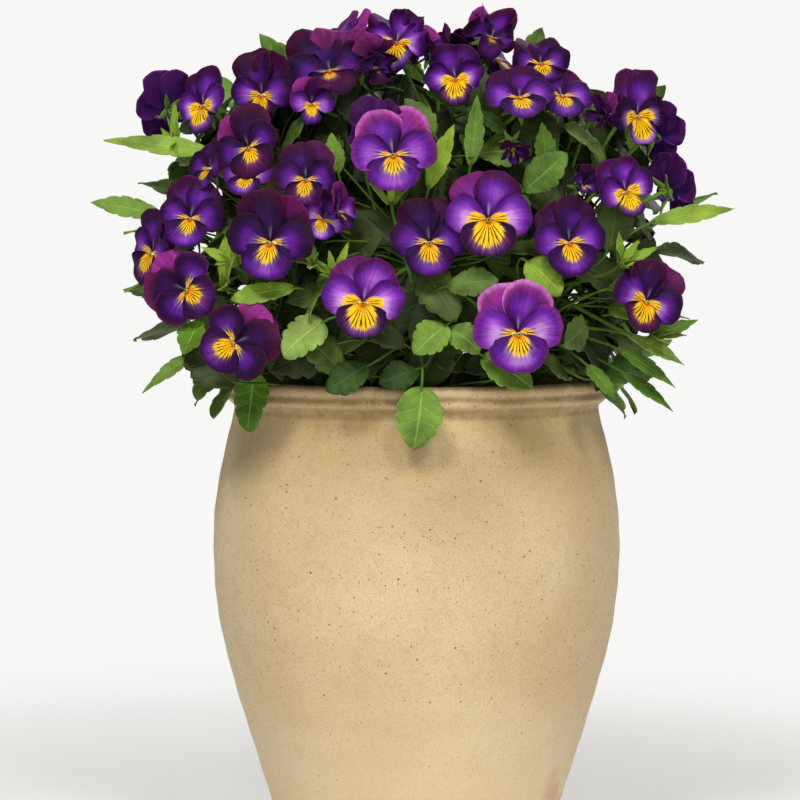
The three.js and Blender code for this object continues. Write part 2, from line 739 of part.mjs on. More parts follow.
const rows = [
  ...listedFlowers.map(listedFlower),
  ...backTiers.flatMap((tier, t) =>
    Array.from({ length: tier.count }, (_, place) => tierFlower(tier, t, place)),
  ),
];
rows.forEach(placeFlower);
flowers.forEach(placeStalk);
const leaves = [
  ...listedLeaves.map(listedLeaf),
  ...Array.from({ length: rimLeaves.count }, (_, place) => rimLeaf(place)),
  ...Array.from({ length: fillLeaves.count }, (_, place) => fillLeaf(place)),
];
leaves.forEach(placeLeaf);

const planter = new THREE.Group();
planter.add(meshOf(pot, "pot", glaze), meshOf(soil, "soil", earth));
for (const place of stemPlaces) {
  const whole = place.parts.reduce((sum, part) => sum.add(part));
  planter.add(meshOf(whole, place.node, foliage));
}
for (const node of new Set(flowers.map((flower) => flower.node))) {
  const members = flowers.filter((flower) => flower.node === node);
  const whole = members.map(({ solid }) => solid).reduce((sum, part) => sum.add(part));
  planter.add(meshOf(whole, `bloom_${node}`, petalTints[members[0].tint]));
}

export default planter;
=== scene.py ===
import bpy
import numpy as np
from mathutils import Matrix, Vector, kdtree


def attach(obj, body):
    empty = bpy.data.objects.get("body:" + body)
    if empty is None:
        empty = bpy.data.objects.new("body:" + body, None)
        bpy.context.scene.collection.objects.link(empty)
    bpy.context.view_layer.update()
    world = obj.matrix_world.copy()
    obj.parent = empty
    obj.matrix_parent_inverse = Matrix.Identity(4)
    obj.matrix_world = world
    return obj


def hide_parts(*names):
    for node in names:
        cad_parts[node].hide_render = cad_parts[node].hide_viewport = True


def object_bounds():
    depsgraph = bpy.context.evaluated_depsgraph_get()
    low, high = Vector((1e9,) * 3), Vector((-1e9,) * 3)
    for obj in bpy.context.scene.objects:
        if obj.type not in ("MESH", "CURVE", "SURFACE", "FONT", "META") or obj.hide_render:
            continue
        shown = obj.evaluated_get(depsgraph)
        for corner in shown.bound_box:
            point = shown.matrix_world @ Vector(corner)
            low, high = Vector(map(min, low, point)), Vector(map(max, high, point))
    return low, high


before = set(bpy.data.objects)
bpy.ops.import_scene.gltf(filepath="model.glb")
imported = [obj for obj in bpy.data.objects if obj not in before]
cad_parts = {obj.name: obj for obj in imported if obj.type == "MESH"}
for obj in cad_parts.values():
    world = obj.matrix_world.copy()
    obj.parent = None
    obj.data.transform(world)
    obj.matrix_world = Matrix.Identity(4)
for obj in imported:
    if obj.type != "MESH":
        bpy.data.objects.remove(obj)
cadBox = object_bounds()
print("frame:", len(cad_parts), "nodes")

# The plan of the plants is in millimetres, as the solids were drawn. Meshes are written in metres.
metres = 0.001
up = np.array([0.0, 0.0, 1.0])
goldenTurn = 137.508


# General helpers

def linear(hexColour):  # sRGB hex to linear colour
    parts = np.array([int(hexColour[i:i + 2], 16) for i in (0, 2, 4)]) / 255
    return np.where(parts <= 0.04045, parts / 12.92, ((parts + 0.055) / 1.055) ** 2.4)


def paint(hexColour):  # the same as a socket's value
    return (*linear(hexColour).tolist(), 1.0)


def unit(v):
    return v / np.linalg.norm(v)


def smooth(low, high, x):  # 0 below low, 1 above high, an S between
    t = np.clip((x - low) / (high - low), 0, 1)
    return t * t * (3 - 2 * t)


def blendColours(a, b, share):  # a + (b - a) * share, over a grid
    return a + (b - a) * np.asarray(share)[..., None]


def makeDraw(seed):  # the repeatable draws, 0 to 1, that the plants were laid out with
    state = seed & 0xFFFFFFFF

    def draw():
        nonlocal state
        state = (state + 0x6D2B79F5) & 0xFFFFFFFF
        mixed = ((state ^ (state >> 15)) * (state | 1)) & 0xFFFFFFFF
        more = ((mixed ^ (mixed >> 7)) * (mixed | 61)) & 0xFFFFFFFF
        mixed = (mixed ^ (mixed + more)) & 0xFFFFFFFF
        return ((mixed ^ (mixed >> 14)) & 0xFFFFFFFF) / 4294967296

    return draw


# A part is a dictionary: points (n x 3), faces (lists of quads and triangles as an n x 4 array,
# where a triangle repeats its last corner), and values on the points by name.

def gridQuads(rows, columns, ring=False):
    # corner (i, j) is i * columns + j; with ring, the last column joins the first
    across = columns if ring else columns - 1
    i, j = np.meshgrid(np.arange(rows - 1), np.arange(across), indexing="ij")
    a = i * columns + j
    b = i * columns + (j + 1) % columns
    return np.stack([a, b, b + columns, a + columns], -1).reshape(-1, 4)


def facedOut(points, faces):  # turns a closed shell's faces so that they point outwards
    corner = points[faces]
    half = np.einsum("ij,ij->", corner[:, 0], np.cross(corner[:, 1], corner[:, 2]))
    other = np.einsum("ij,ij->", corner[:, 0], np.cross(corner[:, 2], corner[:, 3]))
    return faces if half + other > 0 else faces[:, ::-1]


def closedSheet(front, back, values, backValues=None):
    # two grids, one behind the other, joined along all four edges
    rows, columns = front.shape[:2]
    count = rows * columns
    quads = gridQuads(rows, columns)
    index = np.arange(count).reshape(rows, columns)
    edge = np.concatenate([index[0], index[1:, -1], index[-1, -2::-1], index[-2:0:-1, 0]])
    after = np.roll(edge, -1)
    rim = np.stack([edge, after, after + count, edge + count], -1)
    points = np.concatenate([front.reshape(-1, 3), back.reshape(-1, 3)])
    faces = np.concatenate([quads, quads[:, ::-1] + count, rim[:, ::-1]])
    doubled = {}
    for name, value in values.items():
        behind = (backValues or values)[name]
        doubled[name] = np.concatenate([
            np.broadcast_to(v, (rows, columns, 3)).reshape(-1, 3) for v in (value, behind)
        ])
    return {"points": points, "faces": facedOut(points - points.mean(0), faces), **doubled}


def cappedRings(rings, ends):
    # a stack of closed rings (rows x turns x 3), fanned in to the first and the last end point
    rows, turns = rings.shape[:2]
    near = np.arange(turns)
    far = near + (rows - 1) * turns
    first = np.full(turns, rows * turns)
    caps = [np.stack([first, np.roll(near, -1), near, near], -1),
            np.stack([first + 1, far, np.roll(far, -1), np.roll(far, -1)], -1)]
    points = np.concatenate([rings.reshape(-1, 3), ends])
    return points, np.concatenate([gridQuads(rows, turns, ring=True)] + caps)


def tube(path, radii, sides, hint, values, ribs=0.0):
    # circles of the given radii, square to the path: point + side r cos a + other r sin a
    ahead = np.gradient(path, axis=0)
    ahead /= np.linalg.norm(ahead, axis=1)[:, None]
    side = np.cross(ahead, hint)
    side /= np.linalg.norm(side, axis=1)[:, None]
    other = np.cross(side, ahead)
    angle = np.linspace(0, 2 * np.pi, sides, endpoint=False)
    radius = np.asarray(radii)[:, None] * (1 + ribs * np.cos(5 * angle))
    rings = path[:, None] + side[:, None] * (radius * np.cos(angle))[..., None]
    rings = rings + other[:, None] * (radius * np.sin(angle))[..., None]
    points, faces = cappedRings(rings, path[[0, -1]])
    spread = {name: np.broadcast_to(value, points.shape) for name, value in values.items()}
    return {"points": points, "faces": facedOut(points - points.mean(0), faces), **spread}


def joinParts(parts):  # parts with the same values, as one part
    names = [name for name in parts[0] if name != "faces"]
    joined = {name: np.concatenate([part[name] for part in parts]) for name in names}
    starts = np.cumsum([0] + [len(part["points"]) for part in parts[:-1]])
    joined["faces"] = np.concatenate([part["faces"] + s for part, s in zip(parts, starts)])
    return joined


def newMesh(name, part, rounded=True):
    # a part as a mesh, with its values as vector attributes
    quads = part["faces"]
    kept = np.ones(quads.shape, bool)
    kept[quads[:, 3] == quads[:, 2], 3] = False
    sizes = kept.sum(1)
    mesh = bpy.data.meshes.new(name)
    mesh.vertices.add(len(part["points"]))
    mesh.vertices.foreach_set("co", (part["points"] * metres).astype(np.float32).ravel())
    mesh.loops.add(int(sizes.sum()))
    mesh.loops.foreach_set("vertex_index", quads[kept].astype(np.int32))
    mesh.polygons.add(len(quads))
    mesh.polygons.foreach_set("loop_start", (np.cumsum(sizes) - sizes).astype(np.int32))
    mesh.polygons.foreach_set("use_smooth", np.full(len(quads), rounded))
    for key, value in part.items():
        if key not in ("points", "faces"):
            layer = mesh.attributes.new(key, "FLOAT_VECTOR", "POINT")
            layer.data.foreach_set("vector", value.astype(np.float32).ravel())
    mesh.update(calc_edges=True)
    mesh.validate()
    return mesh


def newObject(name, data):  # a mesh, a lamp or a camera, put in the scene
    thing = bpy.data.objects.new(name, data)
    bpy.context.scene.collection.objects.link(thing)
    return thing


def makePiece(name, part, material, replaced):
    mesh = newMesh(name, part)
    mesh.materials.append(material)
    piece = newObject(name, mesh)
    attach(piece, "root")
    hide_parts(replaced)
    return piece


def addNode(tree, kind, inputs, take=0, **settings):
    # adds a shader node, sets its properties and sockets, and gives the output that is asked for
    node = tree.nodes.new("ShaderNode" + kind)
    for name, value in settings.items():
        setattr(node, name, value)
    for name, value in inputs.items():
        if isinstance(value, bpy.types.NodeSocket):
            tree.links.new(value, node.inputs[name])
        else:
            node.inputs[name].default_value = value
    return node.outputs[take] if node.outputs else node


def pointTree(points):  # finds the nearest of the points
    tree = kdtree.KDTree(len(points))
    for i, point in enumerate(points):
        tree.insert(point, i)
    tree.balance()
    return tree


def cells(size):  # a pattern's scale, in cells to the metre, from the size of one in millimetres
    return 1 / (size * metres)


def newMaterial(name):
    material = bpy.data.materials.new(name)
    material.use_nodes = True
    material.node_tree.nodes.clear()
    return material, material.node_tree


def finishMaterial(tree, shader):
    addNode(tree, "OutputMaterial", {"Surface": shader})


def coated(tree, ground, coats):
    # each colour in turn over what lies under it, as far as its share says
    for share, colour in coats:
        ground = addNode(tree, "Mix", {0: share, 6: ground, 7: colour}, take=2, data_type="RGBA")
    return ground


# Camera: the photograph's low view. The picture's width spans seenWidth at the planter.

view = {
    "distance": 1500, "elevation": 3.1, "seenWidth": 424, "sensor": 36,
    "aimAcross": -8.7, "aimHeight": 238.5,
}


def makeCamera():
    data = bpy.data.cameras.new("view")
    data.sensor_width = view["sensor"]
    data.lens = view["sensor"] * view["distance"] / view["seenWidth"]
    camera = newObject("view", data)
    tilt = np.radians(view["elevation"])
    aim = Vector((view["aimAcross"], 0, view["aimHeight"])) * metres
    back = Vector((0, -np.cos(tilt), np.sin(tilt))) * view["distance"] * metres
    camera.location = aim + back
    camera.rotation_euler = (-back).to_track_quat("-Z", "Y").to_euler()
    bpy.context.scene.camera = camera


makeCamera()

# Soft studio light: a white room, two soft boxes high in front, a low one and one behind

studio = {
    "room": 0.95, "roomColour": "fdfdfb", "fill": 0.22,
    "boxes": [  # place in metres, side of the square in metres, watts
        ((-0.6, -1.5, 1.95), 0.5, 26.0),
        ((0.6, -1.6, 1.8), 0.5, 17.5),
        ((0.0, -2.0, 0.1), 1.0, 11.5),
        ((0.8, 1.5, 1.8), 1.6, 22.0),
    ],
    "aimHeight": 0.25,
    "floorColour": "f6f5f2", "floorRings": [300, 600, 1000, 1600, 2400, 3200], "floorTurns": 64,
    "floorNear": 0.1, "floorFar": 0.78,  # where it starts to fade and where it is the room's white
}


def makeLights():
    world = bpy.data.worlds.new("studio")
    world.use_nodes = True
    background = world.node_tree.nodes["Background"]
    background.inputs["Color"].default_value = paint(studio["roomColour"])
    seen = addNode(world.node_tree, "LightPath", {}, take="Is Camera Ray")
    strength = addNode(world.node_tree, "MapRange", {
        "Value": seen, "To Min": studio["fill"], "To Max": studio["room"],
    })
    world.node_tree.links.new(strength, background.inputs["Strength"])
    bpy.context.scene.world = world
    for place, side, watts in studio["boxes"]:
        data = bpy.data.lights.new("soft_box", "AREA")
        data.shape = "SQUARE"
        data.size = side
        data.energy = watts
        lamp = newObject("soft_box", data)
        lamp.location = place
        sight = Vector((0, 0, studio["aimHeight"])) - lamp.location
        lamp.rotation_euler = sight.to_track_quat("-Z", "Y").to_euler()
    bpy.context.scene.view_settings.view_transform = "Standard"


def makeFloor():
    # rings of a flat disc, and a paper-white finish that runs out into the white of the room
    rings, turns = np.array(studio["floorRings"]), studio["floorTurns"]
    angle = np.linspace(0, 2 * np.pi, turns, endpoint=False)
    flat = rings[:, None, None] * np.stack([np.cos(angle), np.sin(angle), 0 * angle], -1)
    points = np.concatenate([flat.reshape(-1, 3), [[0, 0, 0]]])
    middle = np.full(turns, len(points) - 1)
    around = np.arange(turns)
    fan = np.stack([middle, around, np.roll(around, -1), np.roll(around, -1)], -1)
    quads = gridQuads(len(rings), turns, ring=True)[:, ::-1]
    material, tree = newMaterial("studio_paper")
    place = addNode(tree, "TexCoord", {}, take="Object")
    reach = addNode(tree, "VectorMath", {0: place}, take="Value", operation="LENGTH")
    far = addNode(tree, "MapRange", {
        "Value": reach, "From Min": studio["floorNear"], "From Max": studio["floorFar"],
    }, interpolation_type="SMOOTHSTEP")
    grain = addNode(tree, "TexNoise", {"Vector": place, "Scale": cells(4.167)})
    bump = addNode(tree, "Bump", {"Height": grain, "Strength": 0.05, "Distance": 0.0005})
    paper = addNode(tree, "BsdfPrincipled", {
        "Base Color": paint(studio["floorColour"]), "Roughness": 0.7, "Normal": bump,
    })
    glow = addNode(tree, "Emission", {"Color": paint(studio["roomColour"]), "Strength": studio["room"]})
    finishMaterial(tree, addNode(tree, "MixShader", {0: far, 1: paper, 2: glow}))
    mesh = newMesh("studio_floor", {"points": points, "faces": np.concatenate([quads, fan])}, rounded=False)
    mesh.materials.append(material)
    floor = newObject("studio_floor", mesh)


makeLights()
makeFloor()
print("camera, lights and floor")

# Pot: (radius, height) from the foot up the outside, over the rim and down the inside

pot = {
    "height": 250, "turns": 192, "floorThickness": 10,
    "floorRings": 8, "floorMiddle": 6, "footFlat": 62, "floorFlat": 52,  # rings of the two flat faces
    "foot": [(66.8, 0.0), (67.8, 0.25), (68.8, 1.1)],
    "outside": [
        (69.6, 3), (98.6, 98), (104.6, 125), (107.3, 154), (106.8, 180), (103, 206), (97.6, 229),
        (96.6, 236.5),
    ],
    "rim": [
        (98.4, 238.2), (100.9, 240.6), (99.2, 243.3), (100.6, 245.4), (100.4, 248), (98.6, 249.7),
        (94.5, 250), (90.6, 248), (88.6, 241),
    ],
    "inside": [(89.4, 226), (97.4, 190), (98, 156), (91.6, 106), (70.5, 34)],
    "bend": [(66, 13.5), (62.5, 10.6), (59, 10.0)],
    "step": 2.2, "throwing": 0.12, "outOfRound": 0.25, "drainHoles": 3, "drainRadius": 5,
    "drainReach": 34, "drainTurn": 30,
    "clay": "c9ae83", "pale": "d5be96", "tan": "b4904e", "iron": "33230f", "blush": "b9683c",
    "stainAndShade": "4a3218", "paintedLowLight": "e4cda6", "earth": "776428",
    # size in millimetres and detail of the noises: the glaze's clouds and mottle, sand grains,
    # the wandering edge of the blush, and orange peel and grit in the relief
    "noises": {"cloud": (71.43, 3), "mottle": (5.263, 4), "sand": (0.7692, 3), "wander": (22.22, 4),
               "peel": (2.381, 5), "grit": (10.53, 3)},
    "specks": [  # millimetres apart, radius as a share of that, strength and the height they start from
        (3.125, 0.21, 0.85, -1), (1.613, 0.27, 0.65, -1), (0.9524, 0.32, 0.45, -1),
        (1.1364, 0.42, 0.8, 0.19),
    ],
    "stainsAndShade": [(0.2485, 0.2505, 1.1), (0.2424, 0.2442, 0.9), (0.2335, 0.2385, 0.8)],  # from, to, strength: soil stain on the rim's top, painted shade in the groove and under the lower ridge
    "lightAndShadeBands": [(0.16, 0.238, 0.36, "tan"), (0.13, 0.02, 0.6, "paintedLowLight")],  # painted shade on the shoulder under the rim, painted light on the lower belly: from none at, to all at, strength
    "foliageShadows": [  # painted shadows of the foliage on the pot, under the rim and at the back: middle in metres, reach, strength
        ((-0.086, -0.055, 0.214), 0.036, 0.34), ((0.055, -0.083, 0.223), 0.032, 0.40),
        ((-0.022, -0.095, 0.228), 0.040, 0.32), ((0.018, -0.100, 0.198), 0.046, 0.25),
        ((0.070, 0.070, 0.215), 0.034, 0.45), ((-0.050, 0.085, 0.222), 0.038, 0.40),
    ],
    "blushPlace": (0.086, -0.045, 0.03), "blushOuter": 0.066, "blushInner": 0.038,
}


def roundedProfile(corners, step):
    # a centripetal Catmull-Rom curve through the corners, with a point about every step
    corners = np.array(corners, float)
    padded = np.concatenate([[2 * corners[0] - corners[1]], corners, [2 * corners[-1] - corners[-2]]])
    found = []
    for a, b, c, d in zip(padded, padded[1:], padded[2:], padded[3:]):
        knots = np.cumsum([0] + [np.sqrt(np.linalg.norm(q - p)) for p, q in ((a, b), (b, c), (c, d))])
        count = max(2, int(np.ceil(np.linalg.norm(c - b) / step)))
        t = np.linspace(knots[1], knots[2], count, endpoint=False)[:, None]

        def lean(p, q, i, j):
            return (knots[j] - t) / (knots[j] - knots[i]) * p + (t - knots[i]) / (knots[j] - knots[i]) * q

        low, mid, high = lean(a, b, 0, 1), lean(b, c, 1, 2), lean(c, d, 2, 3)
        low, high = lean(low, mid, 0, 2), lean(mid, high, 1, 3)
        found.append(lean(low, high, 1, 2))
    return np.concatenate(found + [corners[-1:]])


def speckCoats(tree, place, height):
    # specks of iron, up to 1.3 mm across and one to a few millimetres apart, more on the shoulder
    coats = []
    for apart, radius, most, lowest in pot["specks"]:
        cell = addNode(tree, "TexVoronoi", {"Vector": place, "Scale": cells(apart)}).node.outputs
        strength = addNode(tree, "MapRange", {
            "Value": height, "From Min": lowest, "From Max": lowest + 0.05, "To Max": most,
        })
        chosen = addNode(tree, "SeparateColor", {"Color": cell["Color"]})
        few = addNode(tree, "MapRange", {"Value": chosen, "From Min": 0.64, "To Max": radius})
        inside = addNode(tree, "Math", {0: few, 1: cell["Distance"]}, operation="SUBTRACT")
        speck = addNode(tree, "MapRange", {"Value": inside, "From Max": 0.05, "To Max": strength})
        coats.append((speck, paint(pot["iron"])))
    return coats


def stainAndShadeCoats(tree, height, mottle):
    # soil stain on top of the rim, and painted shade in the groove and under the lower ridge
    coats = []
    for low, high, most in pot["stainsAndShade"]:
        fromLow = addNode(tree, "MapRange", {
            "Value": height, "From Min": low - 0.001, "From Max": low + 0.0005,
        })
        fromHigh = addNode(tree, "MapRange", {
            "Value": height, "From Min": high + 0.001, "From Max": high - 0.0005, "To Max": most,
        })
        band = addNode(tree, "Math", {0: fromLow, 1: fromHigh}, operation="MULTIPLY")
        band = addNode(tree, "Math", {0: band, 1: mottle}, operation="MULTIPLY")
        coats.append((band, paint(pot["stainAndShade"])))
    return coats


def lightShadeAndWearCoats(tree, place, height, noise):
    # the shoulder darkens to tan towards the rim as painted shade, and the lower belly is lighter as painted
    # light;
    # painted shadows of the foliage lie under the rim, a flame-licked patch with a wandering edge lies on
    # one side, and the foot ring is drier and darker
    coats = []
    for low, high, most, name in pot["lightAndShadeBands"]:
        # painted shade towards the rim and painted light low on the belly
        paintedBand = addNode(tree, "MapRange", {
            "Value": height, "From Min": low, "From Max": high, "To Max": most,
        }, interpolation_type="SMOOTHSTEP")
        coats.append((paintedBand, paint(pot[name])))
    # painted shadows that the foliage casts on the pot under the rim
    for middle, reach, strength in pot["foliageShadows"]:
        away = addNode(tree, "VectorMath", {0: place, 1: middle}, take="Value", operation="DISTANCE")
        shadowPatch = addNode(tree, "MapRange", {
            "Value": away, "From Min": reach, "From Max": 0.1 * reach, "To Max": 2 * strength,
        }, interpolation_type="SMOOTHSTEP")
        shadowPatch = addNode(tree, "Math", {0: shadowPatch, 1: noise["cloud"]}, operation="MULTIPLY")
        coats.append((shadowPatch, paint(pot["earth"])))
    away = addNode(tree, "VectorMath", {0: place, 1: pot["blushPlace"]}, take="Value", operation="DISTANCE")
    away = addNode(tree, "Math", {0: noise["wander"], 1: 0.07, 2: away}, operation="MULTIPLY_ADD")
    blush = addNode(tree, "MapRange", {
        "Value": away, "From Min": pot["blushOuter"], "From Max": pot["blushInner"], "To Max": 0.5,
    }, interpolation_type="SMOOTHSTEP")
    footRing = addNode(tree, "MapRange", {
        "Value": height, "From Min": 0.004, "From Max": 0.0, "To Max": 0.6,
    })
    return coats + [(blush, paint(pot["blush"])), (footRing, paint(pot["tan"]))]


def potMaterial():
    # salt-glazed stoneware, thrown and fired: warm sand with iron specks, cloudy, satin
    material, tree = newMaterial("salt_glazed_stoneware")
    place = addNode(tree, "TexCoord", {}, take="Object")
    height = addNode(tree, "SeparateXYZ", {"Vector": place}, take="Z")
    noise = {
        name: addNode(tree, "TexNoise", {"Vector": place, "Scale": cells(size), "Detail": detail})
        for name, (size, detail) in pot["noises"].items()
    }
    clouded = addNode(tree, "MapRange", {"Value": noise["cloud"], "From Min": 0.35, "From Max": 0.68})
    mottled = addNode(tree, "MapRange", {
        "Value": noise["mottle"], "From Min": 0.5, "From Max": 0.78, "To Max": 0.26,
    })
    coats = [(clouded, paint(pot["pale"])), (mottled, paint(pot["tan"]))] + speckCoats(tree, place, height)
    ground = coated(tree, paint(pot["clay"]), coats)
    sandGain = addNode(tree, "MapRange", {
        "Value": noise["sand"], "From Min": 0.3, "From Max": 0.7, "To Min": 0.86, "To Max": 1.14,
    })
    ground = addNode(tree, "VectorMath", {0: ground, "Scale": sandGain}, operation="SCALE")
    coats = stainAndShadeCoats(tree, height, noise["mottle"]) + lightShadeAndWearCoats(tree, place, height, noise)
    relief = addNode(tree, "Math", {0: noise["peel"], 1: noise["grit"]}, operation="ADD")
    bump = addNode(tree, "Bump", {"Height": relief, "Strength": 0.35, "Distance": 0.0006})
    rough = addNode(tree, "MapRange", {
        "Value": noise["mottle"], "From Min": 0.3, "From Max": 0.8, "To Min": 0.5, "To Max": 0.72,
    })
    finishMaterial(tree, addNode(tree, "BsdfPrincipled", {
        "Base Color": coated(tree, ground, coats), "Roughness": rough, "IOR": 1.5, "Normal": bump,
        "Specular IOR Level": 0.35,
    }))
    return material


def makePot():
    # radius and height of the profile are carried round the axis: (r cos a, r sin a, z)
    outline = roundedProfile(pot["outside"] + pot["rim"] + pot["inside"], pot["step"])
    count, middle, thick = pot["floorRings"], pot["floorMiddle"], pot["floorThickness"]
    flatOut = np.column_stack([np.linspace(middle, pot["footFlat"], count), np.zeros(count)])
    flatIn = np.column_stack([np.linspace(pot["floorFlat"], middle, count), np.full(count, thick)])
    profile = np.concatenate([flatOut, pot["foot"], outline, pot["bend"], flatIn])
    angle = np.linspace(0, 2 * np.pi, pot["turns"], endpoint=False)
    radius, height = profile[:, 0][:, None], profile[:, 1][:, None]
    # the thrower's hand: shallow rings that waver, and a wall that is a little out of round
    wall = smooth(2, 12, height)
    hand = np.sin(height / 3.1 + 0.4 * np.sin(angle)) + 0.7 * np.sin(height / 7.7 + angle)
    oval = np.sin(2 * angle + height / 60)
    radius = radius + pot["throwing"] * wall * hand + pot["outOfRound"] * wall * oval
    height = np.broadcast_to(height, radius.shape)
    rings = np.stack([radius * np.cos(angle), radius * np.sin(angle), height], -1)
    points, faces = cappedRings(rings, [[0, 0, 0], [0, 0, thick]])
    part = {"points": points, "faces": facedOut(points, faces)}
    piece = makePiece("glazed_pot", part, potMaterial(), "pot")
    cutter = makeDrains()
    cut = piece.modifiers.new("drains", "BOOLEAN")
    cut.object = cutter
    cut.solver = "EXACT"
    cut.operation = "DIFFERENCE"
    shape = bpy.data.meshes.new_from_object(piece.evaluated_get(bpy.context.evaluated_depsgraph_get()))
    piece.modifiers.clear()
    piece.data = shape
    shape.name = "glazed_pot"
    bpy.data.objects.remove(cutter)


def makeDrains():
    # three upright plugs through the floor
    plugs = []
    for i in range(pot["drainHoles"]):
        turn = np.radians(pot["drainTurn"] + i * 360 / pot["drainHoles"])
        foot = pot["drainReach"] * np.array([np.cos(turn), np.sin(turn), 0])
        path = foot + up * np.linspace(-5, pot["floorThickness"] + 5, 3)[:, None]
        plugs.append(tube(path, [pot["drainRadius"]] * 3, 24, np.array([0, 1.0, 0]), {}))
    cutter = newObject("drain_plugs", newMesh("drain_plugs", joinParts(plugs), rounded=False))
    bpy.context.view_layer.update()
    return cutter


makePot()
print("pot")

# Soil: a crumbly disc that fills the pot

soil = {
    "edge": 223, "top": 230, "fall": 1.7, "wall": 89.0, "rings": 44, "turns": 128, "crumbs": 420,
    "lumps": [(5, 0.5, 9.0), (7, 0.35, 3.6), (8, 0.25, 1.5)],  # how many waves, height, length over 2 pi
    # the wall and the bottom follow the pot's inside
    "sides": [(89.1, 221.5), (97.0, 190), (97.6, 156), (91.2, 106), (70.1, 34), (59.6, 10.4)],
    "dark": "1c130c", "brown": "3d2a1c", "fibre": "6a4d32",
}


def soilMaterial():
    # peat compost: nearly black and matt when moist, with brown fibres and crumbs
    material, tree = newMaterial("peat_compost")
    place = addNode(tree, "TexCoord", {}, take="Object")
    crumb = addNode(tree, "TexVoronoi", {"Vector": place, "Scale": cells(3.846)})
    grain = addNode(tree, "TexNoise", {"Vector": place, "Scale": cells(1.429), "Detail": 6.0})
    fibre = addNode(tree, "TexNoise", {"Vector": place, "Scale": cells(8.333), "Distortion": 2.5})
    share = addNode(tree, "MapRange", {"Value": fibre, "From Min": 0.6, "From Max": 0.7, "To Max": 0.6})
    coats = [(grain, paint(soil["brown"])), (share, paint(soil["fibre"]))]
    height = addNode(tree, "Math", {0: crumb, 1: grain}, operation="ADD")
    bump = addNode(tree, "Bump", {"Height": height, "Strength": 0.8, "Distance": 0.0012})
    finishMaterial(tree, addNode(tree, "BsdfPrincipled", {
        "Base Color": coated(tree, paint(soil["dark"]), coats), "Roughness": 0.95, "Normal": bump,
    }))
    return material


def makeSoil():
    # a shallow heap: height falls from the middle to the wall, plus three sizes of lumps
    rng = np.random.default_rng(31)
    angle = np.linspace(0, 2 * np.pi, soil["turns"], endpoint=False)
    reach = np.linspace(2, soil["wall"], soil["rings"])[:, None]
    height = soil["top"] - (soil["top"] - soil["edge"]) * (reach / soil["wall"]) ** soil["fall"]
    x, y = reach * np.cos(angle), reach * np.sin(angle)
    many, sizes, waves = (np.array(column) for column in zip(*soil["lumps"]))
    waves = rng.uniform(0.85, 1.15, many.sum()) * np.repeat(waves, many)
    turns, shifts = rng.uniform(0, 2 * np.pi, (2, many.sum()))
    lumps = sum(
        size * np.sin(x * np.cos(turn) / wave + y * np.sin(turn) / wave + shift)
        for size, wave, turn, shift in zip(np.repeat(sizes, many), waves, turns, shifts)
    )
    top = np.stack([x, y, height + lumps * smooth(0, 6, soil["wall"] - reach + 1)], -1)
    wall = np.array([
        np.stack(np.broadcast_arrays(r * np.cos(angle), r * np.sin(angle), z), -1) for r, z in soil["sides"]
    ])
    ends = [[0, 0, soil["top"]], [0, 0, soil["sides"][-1][1]]]
    points, faces = cappedRings(np.concatenate([top, wall]), ends)
    parts = [{"points": points, "faces": facedOut(points - [0, 0, 120], faces)}]
    for _ in range(soil["crumbs"]):  # loose crumbs, 2 to 5 mm, half sunk
        far = soil["wall"] * 0.94 * np.sqrt(rng.uniform())
        turn = rng.uniform(0, 2 * np.pi)
        level = soil["top"] - (soil["top"] - soil["edge"]) * (far / soil["wall"]) ** soil["fall"]
        centre = np.array([far * np.cos(turn), far * np.sin(turn), level + 0.6])
        size = rng.uniform(0.9, 2.4)
        lean = unit(rng.normal(size=3)) * size
        path = centre + lean * np.array([-1, -0.45, 0.45, 1])[:, None]
        radii = size * rng.uniform(0.7, 1.1) * np.array([0.35, 0.95, 0.9, 0.3])
        parts.append(tube(path, radii, 5, unit(rng.normal(size=3)), {}))
    makePiece("compost", joinParts(parts), soilMaterial(), "soil")


makeSoil()
print("soil")

# The plants' plan, with the same values and draws as the solids. Both try the same places in turn
# for a flower, a stalk or a leaf, and here the first that has its corners among the solids' is taken.

plan = {
    "rings": [  # stems in a ring, distance of foot and head from the axis, height, first turn
        (7, 56, 80, 322, 12),
        (3, 20, 36, 388, 50),
    ],
    "soilLine": 233, "stemRadius": 2.8, "stemDepth": 26,
    "domeHalfWidth": 162, "domeHeight": 168, "domeShoulder": 25, "domeDepth": 122,
    "squareness": 2.4, "eyeDistance": 1500, "eyeTilt": 0.054,
    "petal": 0.8, "gap": 0.3, "calyx": 6, "thinStalk": 1.1, "petiole": 0.95, "fold": 0.22,
    "hubReach": 0.15, "hubTurns": [0, 60, 120, 240, 300], "hubSteps": 10, "hubStep": 3, "near": 0.02,
    "stalkShares": [0.8, 0.6, 0.95, 0.4, 0.25], "stalkBows": [0, 9, -9, 18, -18, 30, -30, 45, -45],
    "stalkHandles": [12, 6],
}

